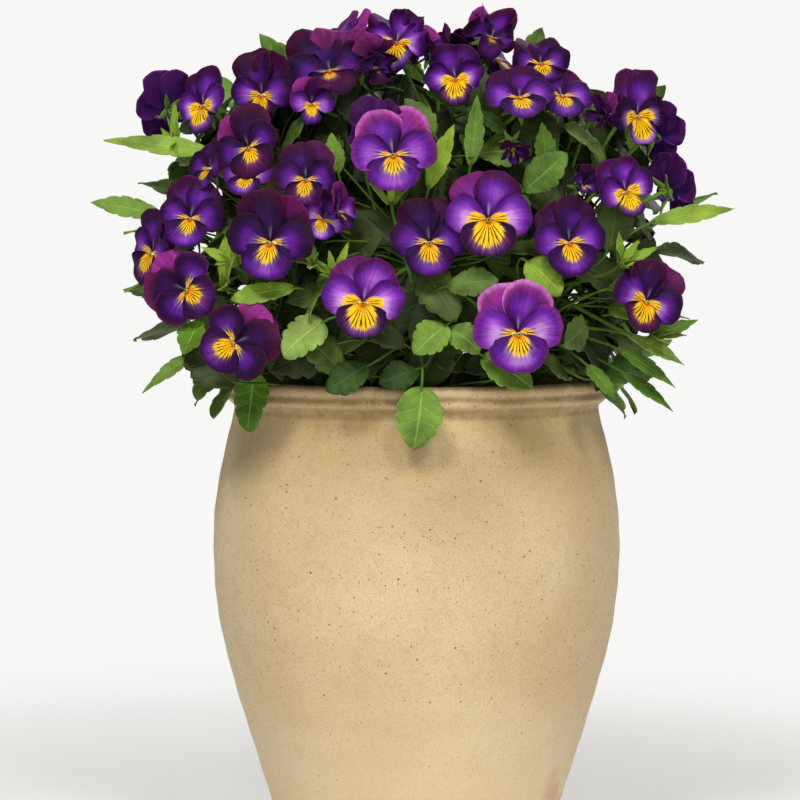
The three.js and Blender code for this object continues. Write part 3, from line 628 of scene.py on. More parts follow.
# name, across, rise, behind, half width, yaw, pitch, roll, cup, mirrored, tint, the flower it touches
listedFlowers = [
    ("a01", 37, 83, 0, 22, 5, 5, 0, 4, 0, 1),
    ("a02", -29, 39, 0, 20.5, 0, 0, 4, 4, 0, 1),
    ("a03", 53, 23, 0, 22, 6, -3, -4, 4, 0, 2),
    ("a04", -13, 117, 0, 22, 0, 10, -4, 4, 1, 2),
    ("a05", -78, 71, 0, 22, -18, 2, 4, 4, 1, 0),
    ("a06", -46, 161, 0, 21, -10, 34, -12, 6, 1, 2),
    ("a07", 6, 71, 7, 20, 3, 0, 0, 5, 1, 0),
    ("a08", 80, 71, 2, 19, 16, 2, -6, 4, 0, 0),
    ("a09", -97, 18, 0, 20, -14, -4, 62, 5, 0, 0),
    ("a10", -122, 46, 4, 20, -18, 0, -64, 5, 1, 0),
    ("a11", 121, 40, 0, 19, 18, 0, 26, 6, 1, 0),
    ("a12", -89, 121, 2, 18, -14, 4, -26, 5, 0, 0),
    ("a13", -59, 104, 3, 16.5, -12, 4, 0, 6, 1, 0),
    ("a14", 54, 147, 0, 18, 5, 36, -6, 4, 0, 2),
    ("a15", 76, 148, 6, 17, 20, 34, 8, 6, 1, 1),
    ("a16", -120, 84, 4, 17.5, -16, 2, 6, 5, 0, 0),
    ("a17", -140, 66, 4, 18.5, -54, 0, 16, 6, 1, 1),
    ("a18", 110, 98, 2, 15.5, 22, 4, -18, 8, 0, 1),
    ("a19", 116, 138, 0, 18, 38, -6, -6, 10, 0, 2),
    ("a20", -82, 149, 3, 17, -26, -6, 4, 6, 1, 1),
    ("a21", -113, 143, 2, 17, -40, 8, -10, 8, 0, 2),
    ("a22", -11, 176, 4, 17, -6, 20, 4, 8, 0, 2),
    ("a23", 20, 157, 2, 15.5, -8, 4, -6, 8, 1, 0),
    ("a24", 39, 179, 2, 15, 22, 24, 20, 14, 0, 3),
    ("a25", 5, 173, 10, 14, -30, 56, 0, 10, 0, 2),
    ("a26", -133, 141, 6, 18, -138, 8, 0, 8, 0, 1),
    ("a27", 135, 98, 8, 18, 122, 4, 0, 8, 0, 1),
    ("a28", 127, 128, 10, 16, 138, 0, 0, 10, 1, 1),
    ("a29", 50, 121, 12, 11, 10, -42, 0, 52, 0, 0),
    ("a30", 87, 101, 10, 10, 20, 10, 30, 46, 0, 0),
    ("a31", -50, 83, 8, 12, 4, 0, 20, 8, 0, 1),
    ("a32", 96, 138, 6, 12, 18, -10, 0, 54, 1, 3),
    ("b01", -56, 144, 2, 12, 12, -6, 0, 12, 0, 3, "a06"),
    ("b02", -24, 163, 4, 14, 58, 4, 0, 34, 0, 1, "a06"),
    ("b03", -36, 144, 14, 16, 165, -8, 0, 8, 1, 0, "a04"),
    ("b05", -110, 110, 8, 15, -52, 14, 0, 8, 1, 0, "a12"),
    ("b06", -90, 94, 6, 14, -20, 28, 0, 8, 0, 2, "a12"),
    ("b07", -33, 92, 4, 13, 66, 6, 0, 26, 1, 3, "a31"),
    ("b08", 65, 165, 4, 15, 14, 28, 0, 8, 0, 0, "a15"),
]

backTiers = [  # how many, first and last turn from the front, rise, reach
    (5, 108, 252, 32, 120),
    (5, 100, 260, 84, 124),
    (4, 112, 248, 132, 98),
    (4, 64, 296, 168, 46),
]

# across and rise of the base and of the tip, behind, half width, form
listedLeaves = [
    (2, -6, -2, -38, 6, 12, "broad"),
    (-50, 29, -72, 13, 8, 11, "broad"),
    (15, 27, -2, 13, 10, 9, "broad"),
    (58, 61, 77, 46, 8, 10, "broad"),
    (35, 11, 61, -5, 12, 10, "broad"),
    (-86, 2, -92, -28, 34, 10.5, "broad"),
    (-101, 12, -119, -10, 30, 10, "broad"),
    (17, 26, 33, 14, 12, 8, "toothed"),
    (-115, 150, -142, 154, 14, 7, "toothed"),
    (-107, 119, -165, 128, 22, 5.5, "slim"),
    (-136, 87, -172, 94, 10, 6, "slim"),
    (-115, 31, -125, 13, 8, 8.5, "toothed"),
    (-118, 13, -147, -6, 20, 4.5, "slim"),
    (-26, 6, -49, -6, 12, 9, "toothed"),
    (0, 4, -20, -3, 14, 8, "toothed"),
    (16, 48, 42, 52, 8, 8, "toothed"),
    (101, 47, 134, 55, 4, 5, "slim"),
    (124, 82, 167, 91, 12, 5, "slim"),
    (114, 113, 142, 110, 12, 8, "toothed"),
    (106, 15, 138, -3, 24, 4.5, "slim"),
    (108, 3, 137, -16, 30, 4, "slim"),
    (90, 6, 106, -10, 22, 5, "slim"),
    (112, 22, 142, 9, 14, 4.5, "slim"),
    (6, 100, 18, 133, 18, 5.5, "slim"),
    (28, 112, 32, 148, 18, 5, "slim"),
    (1, 120, 3, 144, 22, 4.5, "slim"),
    (56, 99, 78, 118, 14, 9, "toothed"),
    (68, 112, 67, 134, 20, 6, "slim"),
    (-42, 108, -46, 128, 18, 5.5, "slim"),
    (-29, 116, -30, 134, 16, 6, "slim"),
    (-66, 47, -99, 43, 12, 6, "toothed"),
]

rimLeaves = {"count": 12, "from": 70, "to": 290, "base": 90, "rise": 11, "reach": 120, "fall": 8}
fillLeaves = {"count": 39, "from": 62, "span": 236, "lowest": 4, "highest": 172, "inset": 26}


def outward(turn):  # level, away from the axis, in degrees round from the front
    return np.array([np.sin(np.radians(turn)), -np.cos(np.radians(turn)), 0.0])


def stemPoint(place, share):  # share is 0 at the soil and 1 at the head
    out, foot, head, height = place["out"], place["foot"], place["head"], place["height"]
    rise = plan["soilLine"] + (height - plan["soilLine"]) * share
    return up * rise + out * (foot + (head - foot) * share * (2 - share))


def domeBulge(across, rise):
    # how far the plants' dome, a superellipsoid, stands in front of the axis
    side = abs(across / plan["domeHalfWidth"]) ** plan["squareness"]
    top = max(0, (rise - plan["domeShoulder"]) / plan["domeHeight"]) ** plan["squareness"]
    return plan["domeDepth"] * (1 - min(side + top, 0.97)) ** (1 / plan["squareness"])


def domeReach(turn, rise):
    # how far the same dome stands out from the axis
    top = max(0, (rise - plan["domeShoulder"]) / plan["domeHeight"]) ** plan["squareness"]
    side = abs(np.sin(np.radians(turn)) / plan["domeHalfWidth"]) ** plan["squareness"]
    front = abs(np.cos(np.radians(turn)) / plan["domeDepth"]) ** plan["squareness"]
    return ((1 - min(top, 0.97)) / (side + front)) ** (1 / plan["squareness"])


def seenPoint(across, rise, depth):
    # the point, depth in front of the axis, that the eye sees at across and rise
    near = 1 - depth / plan["eyeDistance"]
    return np.array([across * near, -depth, pot["height"] + rise * near + depth * plan["eyeTilt"]])


def facing(yaw, pitch, roll):
    # where a flower looks, and its own up and right
    y, p, r = np.radians([yaw, pitch, roll])
    look = np.array([np.cos(p) * np.sin(y), -np.cos(p) * np.cos(y), np.sin(p)])
    level = unit(up - look * look[2])
    crown = level * np.cos(r) + np.cross(level, look) * np.sin(r)
    return {"look": look, "crown": crown, "right": np.cross(crown, look)}


def cornerTree(prefix):
    # the corners of the solids whose names start with prefix, and the node of each
    found, owners = [], []
    for name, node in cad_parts.items():
        if name.startswith(prefix):
            corners = np.empty(len(node.data.vertices) * 3, np.float32)
            node.data.vertices.foreach_get("co", corners)
            corners = np.unique(corners.reshape(-1, 3), axis=0) / metres
            found.append(corners)
            owners += [name] * len(corners)
    found = np.concatenate(found)
    return pointTree(found), owners, found


bloomTree, bloomOwners, _ = cornerTree("bloom_")
stemTree, stemOwners, stemCorners = cornerTree("leafy_stem_")


def atCorners(tree, points, needed):
    # the place of the first point's corner in the list, when enough of the points are corners
    hits = [tree.find(point) for point in points]
    near = [index for _, index, distance in hits if distance < plan["near"]]
    return near[0] if len(near) >= needed else None


stemPlaces = []
for count, foot, head, height, turn in plan["rings"]:
    for i in range(count):
        angle = np.radians(turn + i * 360 / count)
        stemPlaces.append({
            "out": np.array([np.cos(angle), np.sin(angle), 0.0]), "foot": foot, "head": head,
            "height": height, "name": f"leafy_stem_{len(stemPlaces) + 1:02d}", "blades": [],
        })


def throatCorners(flower, hub):
    turns = np.radians(plan["hubTurns"])
    cos, sin = np.cos(turns), (-1 if flower["mirrored"] else 1) * np.sin(turns)
    outwards = cos[:, None] * flower["crown"] + sin[:, None] * flower["right"]
    return hub + outwards * flower["half"] * plan["hubReach"]


def findFlower(flower, places):
    # the first of the places at which the solids have this flower's throat
    for hub in places:
        index = atCorners(bloomTree, throatCorners(flower, hub), 4)
        if index is not None:
            flower["hub"] = hub
            flower["node"] = bloomOwners[index]
            flowers[flower["name"]] = flower
            return


flowers = {}
tries = np.arange(plan["hubSteps"])
for index, row in enumerate(listedFlowers):
    name, across, rise, behind, half, yaw, pitch, roll, cup, mirrored, tint = row[:11]
    depth = domeBulge(across, rise) - behind
    places = [seenPoint(across, rise, depth - plan["hubStep"] * step) for step in tries]
    partner = row[11] if len(row) > 11 else ""
    if partner:  # it is moved towards the flower that it touches
        places = [places[0] + (flowers[partner]["hub"] - places[0]) * 0.07 * step for step in tries]
    findFlower({"name": name, "half": half, "cup": cup, "mirrored": mirrored, "tint": tint,
                "partner": partner, "seed": 100 + index, **facing(yaw, pitch, roll)}, places)
for tier, (count, first, last, rise, reach) in enumerate(backTiers):
    for place in range(count):
        draw = makeDraw(300 + 20 * tier + place)
        turn = first + (last - first) * place / (count - 1) + 10 * (draw() - 0.5)
        height = pot["height"] + rise + 14 * (draw() - 0.5)
        half = 18 + 3.5 * draw()
        pitch = 4 + 0.24 * (rise - 30) + 14 * (draw() - 0.5)
        yaw = turn + 16 * (draw() - 0.5)
        roll = 24 * (draw() - 0.5)
        mirrored = 1 if draw() > 0.5 else 0
        tint = int(3 * draw())
        findFlower({"name": f"back{tier}{place}", "half": half, "cup": 5, "mirrored": mirrored, "tint": tint,
                    "partner": "", "seed": 400 + 20 * tier + place, **facing(yaw, pitch, roll)},
                   [up * height + outward(turn) * (reach - plan["hubStep"] * step) for step in tries])
print("flowers found:", len(flowers), "of", len(listedFlowers) + sum(t[0] for t in backTiers))


def nearestStems(point, count):
    return sorted(stemPlaces, key=lambda p: np.linalg.norm(stemPoint(p, 0.8) - point))[:count]


def bezier(a, b, c, d, t):
    t = np.asarray(t, float)[..., None]
    return a * (1 - t) ** 3 + b * 3 * t * (1 - t) ** 2 + c * 3 * t * t * (1 - t) + d * t ** 3


def stalkCurve(flower, place, share, bow, handle):
    # from the back of the calyx down to the stem
    look, right = flower["look"], flower["right"]
    start = flower["hub"] - look * (plan["petal"] + plan["gap"] + plan["calyx"])
    end = stemPoint(place, share)
    b = start - look * handle + up * (handle / 2 - 10) + right * bow
    c = end + up * 16 + place["out"] * 6 + right * bow
    return start, b, c, end


def findStalk(flower):
    turns = np.radians([0, 120, 240])[:, None]
    for place in nearestStems(flower["hub"], 6):
        for share in plan["stalkShares"]:
            for bow in plan["stalkBows"]:
                for handle in plan["stalkHandles"]:
                    curve = stalkCurve(flower, place, share, bow, handle)
                    near, middle, far = curve[0], *bezier(*curve, [0.35, 0.7])
                    ahead = unit(far - near)
                    side = unit(np.cross(ahead, flower["right"]))
                    other = np.cross(side, ahead)
                    ring = middle + plan["thinStalk"] * (side * np.cos(turns) + other * np.sin(turns))
                    if atCorners(stemTree, ring, 2) is not None:
                        flower["stem"] = place
                        flower["curve"] = curve
                        return


for flower in flowers.values():
    findStalk(flower)
print("stalks found:", sum("curve" in flower for flower in flowers.values()))

# The widest corners of the solids' leaves: share of the length, share of half the width
marginEnds = {"broad": (0.45, 1.0), "toothed": (0.56, 0.94), "slim": (0.3, 0.9)}


def leafFrame(leaf):  # length, and the directions along, across and out of the blade
    span = leaf["tip"] - leaf["base"]
    ahead = unit(span)
    side = unit(np.cross(ahead, leaf["normal"]))
    return np.linalg.norm(span), ahead, side, np.cross(side, ahead)


def leafCorner(leaf, share, width):
    # on the folded, drooping blade: share along it and width across it, 1 at the margin
    length, ahead, side, face = leafFrame(leaf)
    lift = plan["fold"] * abs(width) * leaf["half"] - leaf["droop"] * length * share ** 2
    return leaf["base"] + ahead * length * share + side * width * leaf["half"] + face * lift


def findLeaf(choices, listed=None):
    # the first choice whose tip and margins are corners of a solid; listed is its row in the list
    for leaf in choices:
        share, width = marginEnds[leaf["form"]]
        corners = [leafCorner(leaf, 1, 0), leafCorner(leaf, share, width), leafCorner(leaf, share, -width)]
        index = atCorners(stemTree, corners, 2)
        if index is not None:
            owner = stemOwners[index]
            leaf["listed"] = listed
            leaf["stem"] = next(place for place in stemPlaces if place["name"] == owner)
            leaf["root"] = findRoot(leaf, stemCorners[[name == owner for name in stemOwners]])
            leaves.append(leaf)
            return


def findRoot(leaf, corners):
    # the leaf's stalk ends at the stem point that leaves a corner on one of its straight edges
    best, score = 0.5, 0
    width = 0.16 if leaf["form"] == "slim" else 0.14
    side = leafFrame(leaf)[2]
    for share in [0.5, 0.75, 0.3, 0.15, 0.95]:
        root = stemPoint(leaf["stem"], share)
        reach = unit(leaf["base"] - root)
        level = unit(side - reach * side.dot(reach))
        top = np.cross(level, reach)
        hits = 0
        for hand in (1, -1):
            a = leafCorner(leaf, 0, width * hand)
            b = root + level * hand * plan["petiole"] + top * plan["petiole"]
            line = b - a
            t = (corners - a) @ line / line.dot(line)
            off = np.linalg.norm(corners - a - t[:, None] * line, axis=1)
            hits += int(np.any((off < plan["near"]) & (t > 0.3) & (t < 0.999)))
        if hits > score:
            best, score = share, hits
    return best


def listedLeaf(row):
    baseAcross, baseRise, tipAcross, tipRise, behind, half, form = row
    choices = []
    for step in range(9):
        depth = domeBulge(baseAcross, baseRise) - behind - 3 * step
        base = seenPoint(baseAcross, baseRise, depth - 4)
        choices.append({
            "base": base, "tip": seenPoint(tipAcross, tipRise, depth + 2), "half": half, "form": form,
            "normal": unit(np.array([base[0] / plan["domeHalfWidth"], -1, 0.5])), "droop": 0.12,
        })
    return choices


def rimLeaf(place):
    draw = makeDraw(700 + place)
    share = place / (rimLeaves["count"] - 1)
    turn = rimLeaves["from"] + (rimLeaves["to"] - rimLeaves["from"]) * share + 8 * (draw() - 0.5)
    half = 8 + 3 * draw()
    drop = rimLeaves["fall"] + 14 * draw()
    swing = 16 * (draw() - 0.5)
    choices = []
    for lift in (0, 5, 10, 15):
        for side in (0, 7, -7, 14, -14):
            level = pot["height"] + lift
            base = up * (level + rimLeaves["rise"]) + outward(turn + side) * rimLeaves["base"]
            tip = up * (level - drop) + outward(turn + side + swing) * rimLeaves["reach"]
            choices.append({"base": base, "tip": tip, "half": half, "form": "toothed", "droop": 0.1,
                            "normal": unit(outward(turn) + up * 1.2)})
    return choices


def fillLeaf(place):
    draw = makeDraw(800 + place)
    turn = fillLeaves["from"] + (goldenTurn * place) % fillLeaves["span"]
    rise = fillLeaves["lowest"] + (fillLeaves["highest"] - fillLeaves["lowest"]) * (
        (place + 0.5) / fillLeaves["count"])
    length = 38 + 14 * draw()
    half = length * (0.18 + 0.08 * draw())
    climb = 0.9 * draw() - 0.35 + rise / fillLeaves["highest"] * 0.5
    swing = 1.6 * (draw() - 0.5)
    depth = fillLeaves["inset"] * draw()
    out = outward(turn)
    around = np.cross(up, out)
    middle = up * (pot["height"] + rise) + out * (domeReach(turn, rise) - 14 - depth)
    choices = []
    for inwards in range(3):
        for lean in (0, 0.5, -0.5, 1, -1, 1.5, -1.5):
            ahead = unit(out * 0.6 + around * (swing + lean) + up * climb)
            centre = middle - out * 6 * inwards
            choices.append({
                "base": centre - ahead * length / 2, "tip": centre + ahead * length / 2, "half": half,
                "form": "toothed" if half > 10.5 else "slim", "droop": 0.14,
                "normal": unit(out * 0.7 + up * 0.8),
            })
    return choices


leaves = []
for index, row in enumerate(listedLeaves):
    findLeaf(listedLeaf(row), index)
for place in range(rimLeaves["count"]):
    findLeaf(rimLeaf(place))
for place in range(fillLeaves["count"]):
    findLeaf(fillLeaf(place))
print("leaves found:", len(leaves))

# Blooms: five petals each, painted by place, with a knobbed pistil, cream beards and a spur

petals = {
    "rings": 15, "rays": 25, "throat": 0.05, "ruffle": 0.044, "base": 0.5, "edge": 0.22,
    "whiskerStep": 12.5, "dome": 0.045, "notchWidth": 7, "ragged": (0.014, 0.008), "crumple": 12,
    # radii of the pistil, of a beard's hair and of the spur, in half flower widths
    "pistilRadii": [0.04, 0.036, 0.04, 0.055, 0.05, 0.024], "hairs": 9, "hairRadii": [0.014, 0.011, 0.004],
    "spurRadii": [0.11, 0.1, 0.09, 0.085, 0.08, 0.078, 0.065, 0.03],
    "forms": [  # going round from the top: middle angle, spread to each side, length, bluntness,
        # the lip's notch, lifts at the claw, in the middle of the margin and at its sides
        ("upper", 22, 52, 1.17, 0.28, 0.0, -0.09, -0.17, -0.13),
        ("side", 77, 49, 1.0, 0.25, 0.0, 0.01, 0.0, 0.04),
        ("lip", 180, 80, 0.88, 0.20, 0.05, 0.10, 0.16, 0.13),
        ("side", 283, 49, 1.0, 0.25, 0.0, 0.01, 0.0, 0.04),
        ("upper", 338, 52, 1.17, 0.28, 0.0, -0.19, -0.29, -0.25),
    ],
    "tones": ["10020f", "2c0741", "5f1d8e", "944db3", "cda4d8"],  # velvet black to lilac
    "toneShares": [0.0, 0.33, 0.68, 1.0, 1.35],
    "ash": "c3a6dc", "magenta": "8e2c7f", "maroon": "4a0936", "yellow": "fcc40c", "orange": "ee8c06",
    "cream": "f4ecb4", "back": "4a2278", "whisker": "2a0509", "pistil": "b3ab45", "halo": "cdb2e6",
    "rust": "8c3558", "pink": "c679bf",
}

# How light the upper petals, the sides and the lip are, how magenta the rims, how wide the yellow,
# and how rusty the yellow's border is
lookNames = ["upper", "side", "lip", "rim", "yellow", "rust"]
tintLooks = [
    (0.20, 0.30, 0.42, 0.35, 1.0, 0.0),
    (0.40, 0.55, 0.55, 0.50, 1.0, 0.2),
    (0.62, 0.70, 0.70, 0.85, 1.05, 0.0),
    (0.18, 0.25, 0.25, 0.75, 0.85, 0.4),
]
flowerLooks = {
    "a01": (0.66, 0.84, 0.30, 0.60, 1.30, 0.8),
    "a02": (0.84, 0.88, 0.40, 0.55, 1.35, 0.7),
    "a03": (0.58, 0.88, 0.92, 1.25, 1.05, 0.0),
    "a04": (0.52, 0.64, 0.80, 1.15, 0.95, 0.2),
    "a05": (0.13, 0.22, 0.62, 0.52, 0.95, 0.0),
    "a06": (0.20, 0.18, 0.10, 0.62, 0.7, 0.0),
    "a07": (0.15, 0.36, 0.50, 0.25, 1.0, 0.1),
    "a08": (0.26, 0.50, 0.52, 0.30, 1.05, 0.0),
    "a09": (0.12, 0.20, 0.42, 0.85, 1.0, 0.0),
    "a10": (0.12, 0.22, 0.35, 0.95, 1.0, 0.0),
    "a11": (0.13, 0.45, 0.12, 0.55, 1.2, 1.0),
    "a12": (0.08, 0.22, 0.12, 0.70, 0.92, 0.0),
    "a13": (0.22, 0.34, 0.30, 0.50, 1.0, 0.0),
    "a14": (0.46, 0.58, 0.56, 0.40, 1.05, 0.0),
    "a15": (0.46, 0.58, 0.58, 0.45, 1.1, 0.0),
    "a16": (0.46, 0.38, 0.60, 0.35, 0.95, 0.0),
    "a17": (0.40, 0.50, 0.15, 0.35, 1.1, 0.8),
    "a18": (0.60, 0.60, 0.40, 0.35, 1.3, 0.3),
    "a19": (0.64, 0.18, 0.90, 0.50, 1.4, 0.0),
    "a20": (0.30, 0.50, 0.30, 0.40, 1.1, 0.2),
    "a21": (0.55, 0.60, 0.50, 0.30, 1.3, 0.3),
    "a22": (0.66, 0.74, 0.70, 0.35, 1.25, 0.0),
    "a23": (0.50, 0.50, 0.22, 0.20, 1.3, 0.6),
    "a24": (0.45, 0.20, 0.30, 0.90, 0.6, 0.0),
    "a25": (0.30, 0.22, 0.25, 0.85, 0.6, 0.0),
    "a31": (0.50, 0.85, 1.00, 0.30, 1.1, 0.0),
    "b01": (0.18, 0.70, 0.45, 0.75, 1.05, 0.0),
    "b02": (0.12, 0.20, 0.15, 0.60, 0.6, 0.0),
    "b03": (0.20, 0.25, 0.25, 0.60, 0.8, 0.0),
    "b07": (0.35, 0.75, 0.40, 1.0, 0.8, 0.0),
}
# How ruffled a flower's margins are, how wide its lip spreads and how long its upper petals are
flowerShapes = {
    "a06": (2.0, 1.0, 1.32), "a11": (1.6, 0.85, 1.0), "a14": (0.8, 1.08, 1.0), "a15": (0.8, 1.08, 1.0),
    "a18": (1.2, 0.62, 1.0), "a19": (1.35, 0.85, 1.2), "a20": (1.8, 0.8, 1.15), "a21": (1.2, 0.62, 1.0),
    "a22": (2.6, 0.85, 1.1), "a23": (1.8, 0.8, 1.0), "a24": (3.0, 1.0, 1.0), "a25": (3.0, 1.0, 1.0),
    "a32": (3.5, 0.9, 1.0), "b01": (1.3, 0.6, 1.0), "b02": (3.0, 1.0, 1.0), "b03": (2.0, 1.0, 1.0),
    "b08": (2.2, 1.0, 1.0),
}


def petalTone(light):  # velvet black at 0, through violet, to lilac at 1.35
    tones = np.array([linear(tone) for tone in petals["tones"]])
    return np.stack([np.interp(light, petals["toneShares"], tones[:, i]) for i in range(3)], -1)


def lipRust(look):  # a dark lip has a rusty border to its yellow, a light one a pale border
    return max(look["rust"], 0.75 * smooth(0.8, 0.35, look["lip"]))


# How each kind of petal is painted. phi is the angle from the petal's middle line, positive towards the
# lip; reach is the distance from the throat in half flower widths; edge runs from 0 at the claw to 1 at
# the margin. Each gives the ground colour, where whiskers lie, how far inside the yellow it is, and the
# halo's strength.

def upperColours(phi, reach, edge, look, middle, rearBacklit):
    light = look["upper"]
    glow = np.exp(-((reach - 0.6) / 0.34) ** 2) * np.exp(-(phi / 36) ** 2)
    shade = 0.14 * (1 - min(light, 1)) * smooth(0.6, 1, edge)
    colour = petalTone(0.38 * light + (0.22 + 0.6 * light) * glow - shade)
    gap = np.exp(-((middle + phi * (1 if middle < 90 else -1)) % 360 / 11) ** 2)
    ash = (0.2 + 0.45 * min(light, 1)) * gap * smooth(0.42, 0.18, reach)
    colour = blendColours(colour, linear(petals["ash"]), ash)
    # the maroon to magenta rim is the petal's own; on the upper petal behind it is painted wider and more
    # magenta as painted backlight through the petal
    magenta = smooth(0.35, 0.9, look["rim"]) if rearBacklit else smooth(0.85, 1.15, look["rim"])
    rimColour = blendColours(linear(petals["maroon"]), linear(petals["magenta"]), magenta)
    rim = min(1.0, look["rim"] * (1.4 if rearBacklit else 1.15)) * smooth(0.25 if rearBacklit else 0.64, 0.97, edge)
    colour = blendColours(colour, rimColour, rim)
    pink = 3 * max(0, look["rim"] - 1) * smooth(0.86, 0.99, edge)
    none = np.zeros(reach.shape)
    return blendColours(colour, linear(petals["pink"]), pink), none, none - 1, none


def sideColours(phi, reach, edge, look):
    light = look["side"]
    glow = smooth(-50, 4, phi) * np.exp(-((reach - 0.5) / 0.34) ** 2)
    shade = (0.22 - 0.2 * min(light, 1)) * smooth(0.55, 1, edge)
    colour = petalTone(0.05 + 0.44 * light + (0.32 + 0.5 * light) * glow - shade)
    rim = 0.55 * min(1.0, look["rim"]) * smooth(0.84, 1.0, edge)
    colour = blendColours(colour, lowRim(look), rim)
    inside = 0.31 * look["yellow"] ** 1.5 - reach - 0.00016 * (phi - 14) ** 2 * (phi < 14)
    halo = smooth(-26, 4, phi) * min(0.6, 0.28 + 0.2 * light)
    whiskers = smooth(0.1, 0.16, reach) * smooth(0.46, 0.34, reach)
    whiskers = whiskers * smooth(-8, -3, phi) * smooth(36, 30, phi)
    return colour, whiskers, inside, halo


def lipColours(phi, reach, edge, look):
    light = look["lip"]
    glow = np.exp(-(phi / 40) ** 2) * np.exp(-((reach - 0.68) / 0.17) ** 2)
    colour = petalTone(0.07 + 0.42 * light + (0.22 + 0.5 * light) * glow - 0.14 * smooth(0.7, 1, edge))
    ring = smooth(0.9, 0.6, reach) * smooth(66, 44, abs(phi)) * smooth(0.5, 0.2, light)
    colour = blendColours(colour, linear(petals["maroon"]), 0.6 * ring)
    colour = blendColours(colour, lowRim(look), 0.35 * min(1.0, look["rim"]) * smooth(0.9, 1.0, edge))
    yellow = 0.48 * look["yellow"]
    inside = yellow - reach - 0.00008 * phi ** 2
    halo = smooth(62, 38, abs(phi)) * max(min(0.8, 0.04 + 0.42 * light), 0.6 * lipRust(look))
    whiskers = smooth(0.12, 0.19, reach) * smooth(1.06, 0.84, reach / yellow) * smooth(46, 40, abs(phi))
    return colour, whiskers, inside, halo


def lowRim(look):  # the rim's colour on the sides and the lip
    share = smooth(0.85, 1.15, look["rim"])
    return blendColours(linear(petals["maroon"]), linear(petals["magenta"]), share)


def petalReach(form, phi, across, t, stretch, ruffled, waves):
    # reach = throat + (margin - throat) t, with margin = length cos(90 phi / spread)^bluntness, notched
    # at the middle line and a little ragged
    _, _, spread, length, blunt, notch = form[:6]
    throat = petals["throat"]
    margin = throat + (length * stretch - throat) * np.cos(np.radians(90 * phi / spread)) ** blunt
    margin = margin * (1 - notch * np.exp(-(phi / petals["notchWidth"]) ** 2))
    coarse, fine = petals["ragged"]
    ragged = coarse * np.sin(3.1 * across * np.pi + waves[0]) + fine * np.sin(7 * across * np.pi + waves[1])
    margin = margin * (1 + ragged * (0.5 + 0.6 * ruffled))
    return throat + (margin - throat) * t


def petalLift(form, phi, across, t, reach, ruffled, waves, curl):
    # off the flower's plane: from the claw to the margin, domed, ruffled and curled at the edge
    spread, clawLift, midLift, sideLift = form[2], *form[6:]
    outer = midLift + (sideLift - midLift) * (phi / spread) ** 2
    claw = clawLift * np.minimum(reach / 0.4, 1)
    lift = claw + (outer - claw) * np.clip((reach - 0.4) / 0.6, 0, 1)
    dome = petals["dome"] * np.sin(np.pi * t) * (1 - (phi / spread) ** 2)
    ruffle = np.sin(2.6 * np.pi * across + waves[2]) + 0.5 * np.sin(5.2 * np.pi * across + waves[3])
    curl = curl * (0.6 + 0.5 * ruffled)
    lift = lift + dome + petals["ruffle"] * ruffled * ruffle * t ** 3 + curl * t ** 4
    return lift + 0.004 * np.sin(phi / 2.4) * np.minimum(reach, 1)  # shallow folds along the veins


def petalValues(form, toLip, reach, edge, look, seed):
    # the painting of a petal's front and of its paler back
    kind, middle = form[:2]
    if kind == "upper":
        colour, whiskers, inside, halo = upperColours(toLip, reach, edge, look, middle, rearBacklit=middle > 180)
    elif kind == "side":
        colour, whiskers, inside, halo = sideColours(toLip, reach, edge, look)
    else:
        colour, whiskers, inside, halo = lipColours(toLip, reach, edge, look)
    rust = lipRust(look) if kind == "lip" else 0.0
    values = {
        "petalGround": colour,
        "petalRay": np.stack([toLip / petals["whiskerStep"], reach, edge], -1),
        "petalFan": np.stack(np.broadcast_arrays(whiskers, toLip / 60, seed), -1),
        "petalGold": np.stack(np.broadcast_arrays(inside, halo, rust), -1),
    }
    plain = blendColours(linear(petals["back"]), petalTone(0.5 + 0 * edge), 0.5 + 0.3 * edge)
    plain = blendColours(plain, linear(petals["magenta"]), 0.6 * min(1, look["rim"]) * edge ** 2)
    backValues = {
        "petalGround": plain * (0.26 + 0.5 * look[kind]),
        "petalRay": values["petalRay"],
        "petalFan": np.stack(np.broadcast_arrays(0.0, toLip / 60, seed), -1),
        "petalGold": [-1.0, 0.0, 0.0],
    }
    return values, backValues


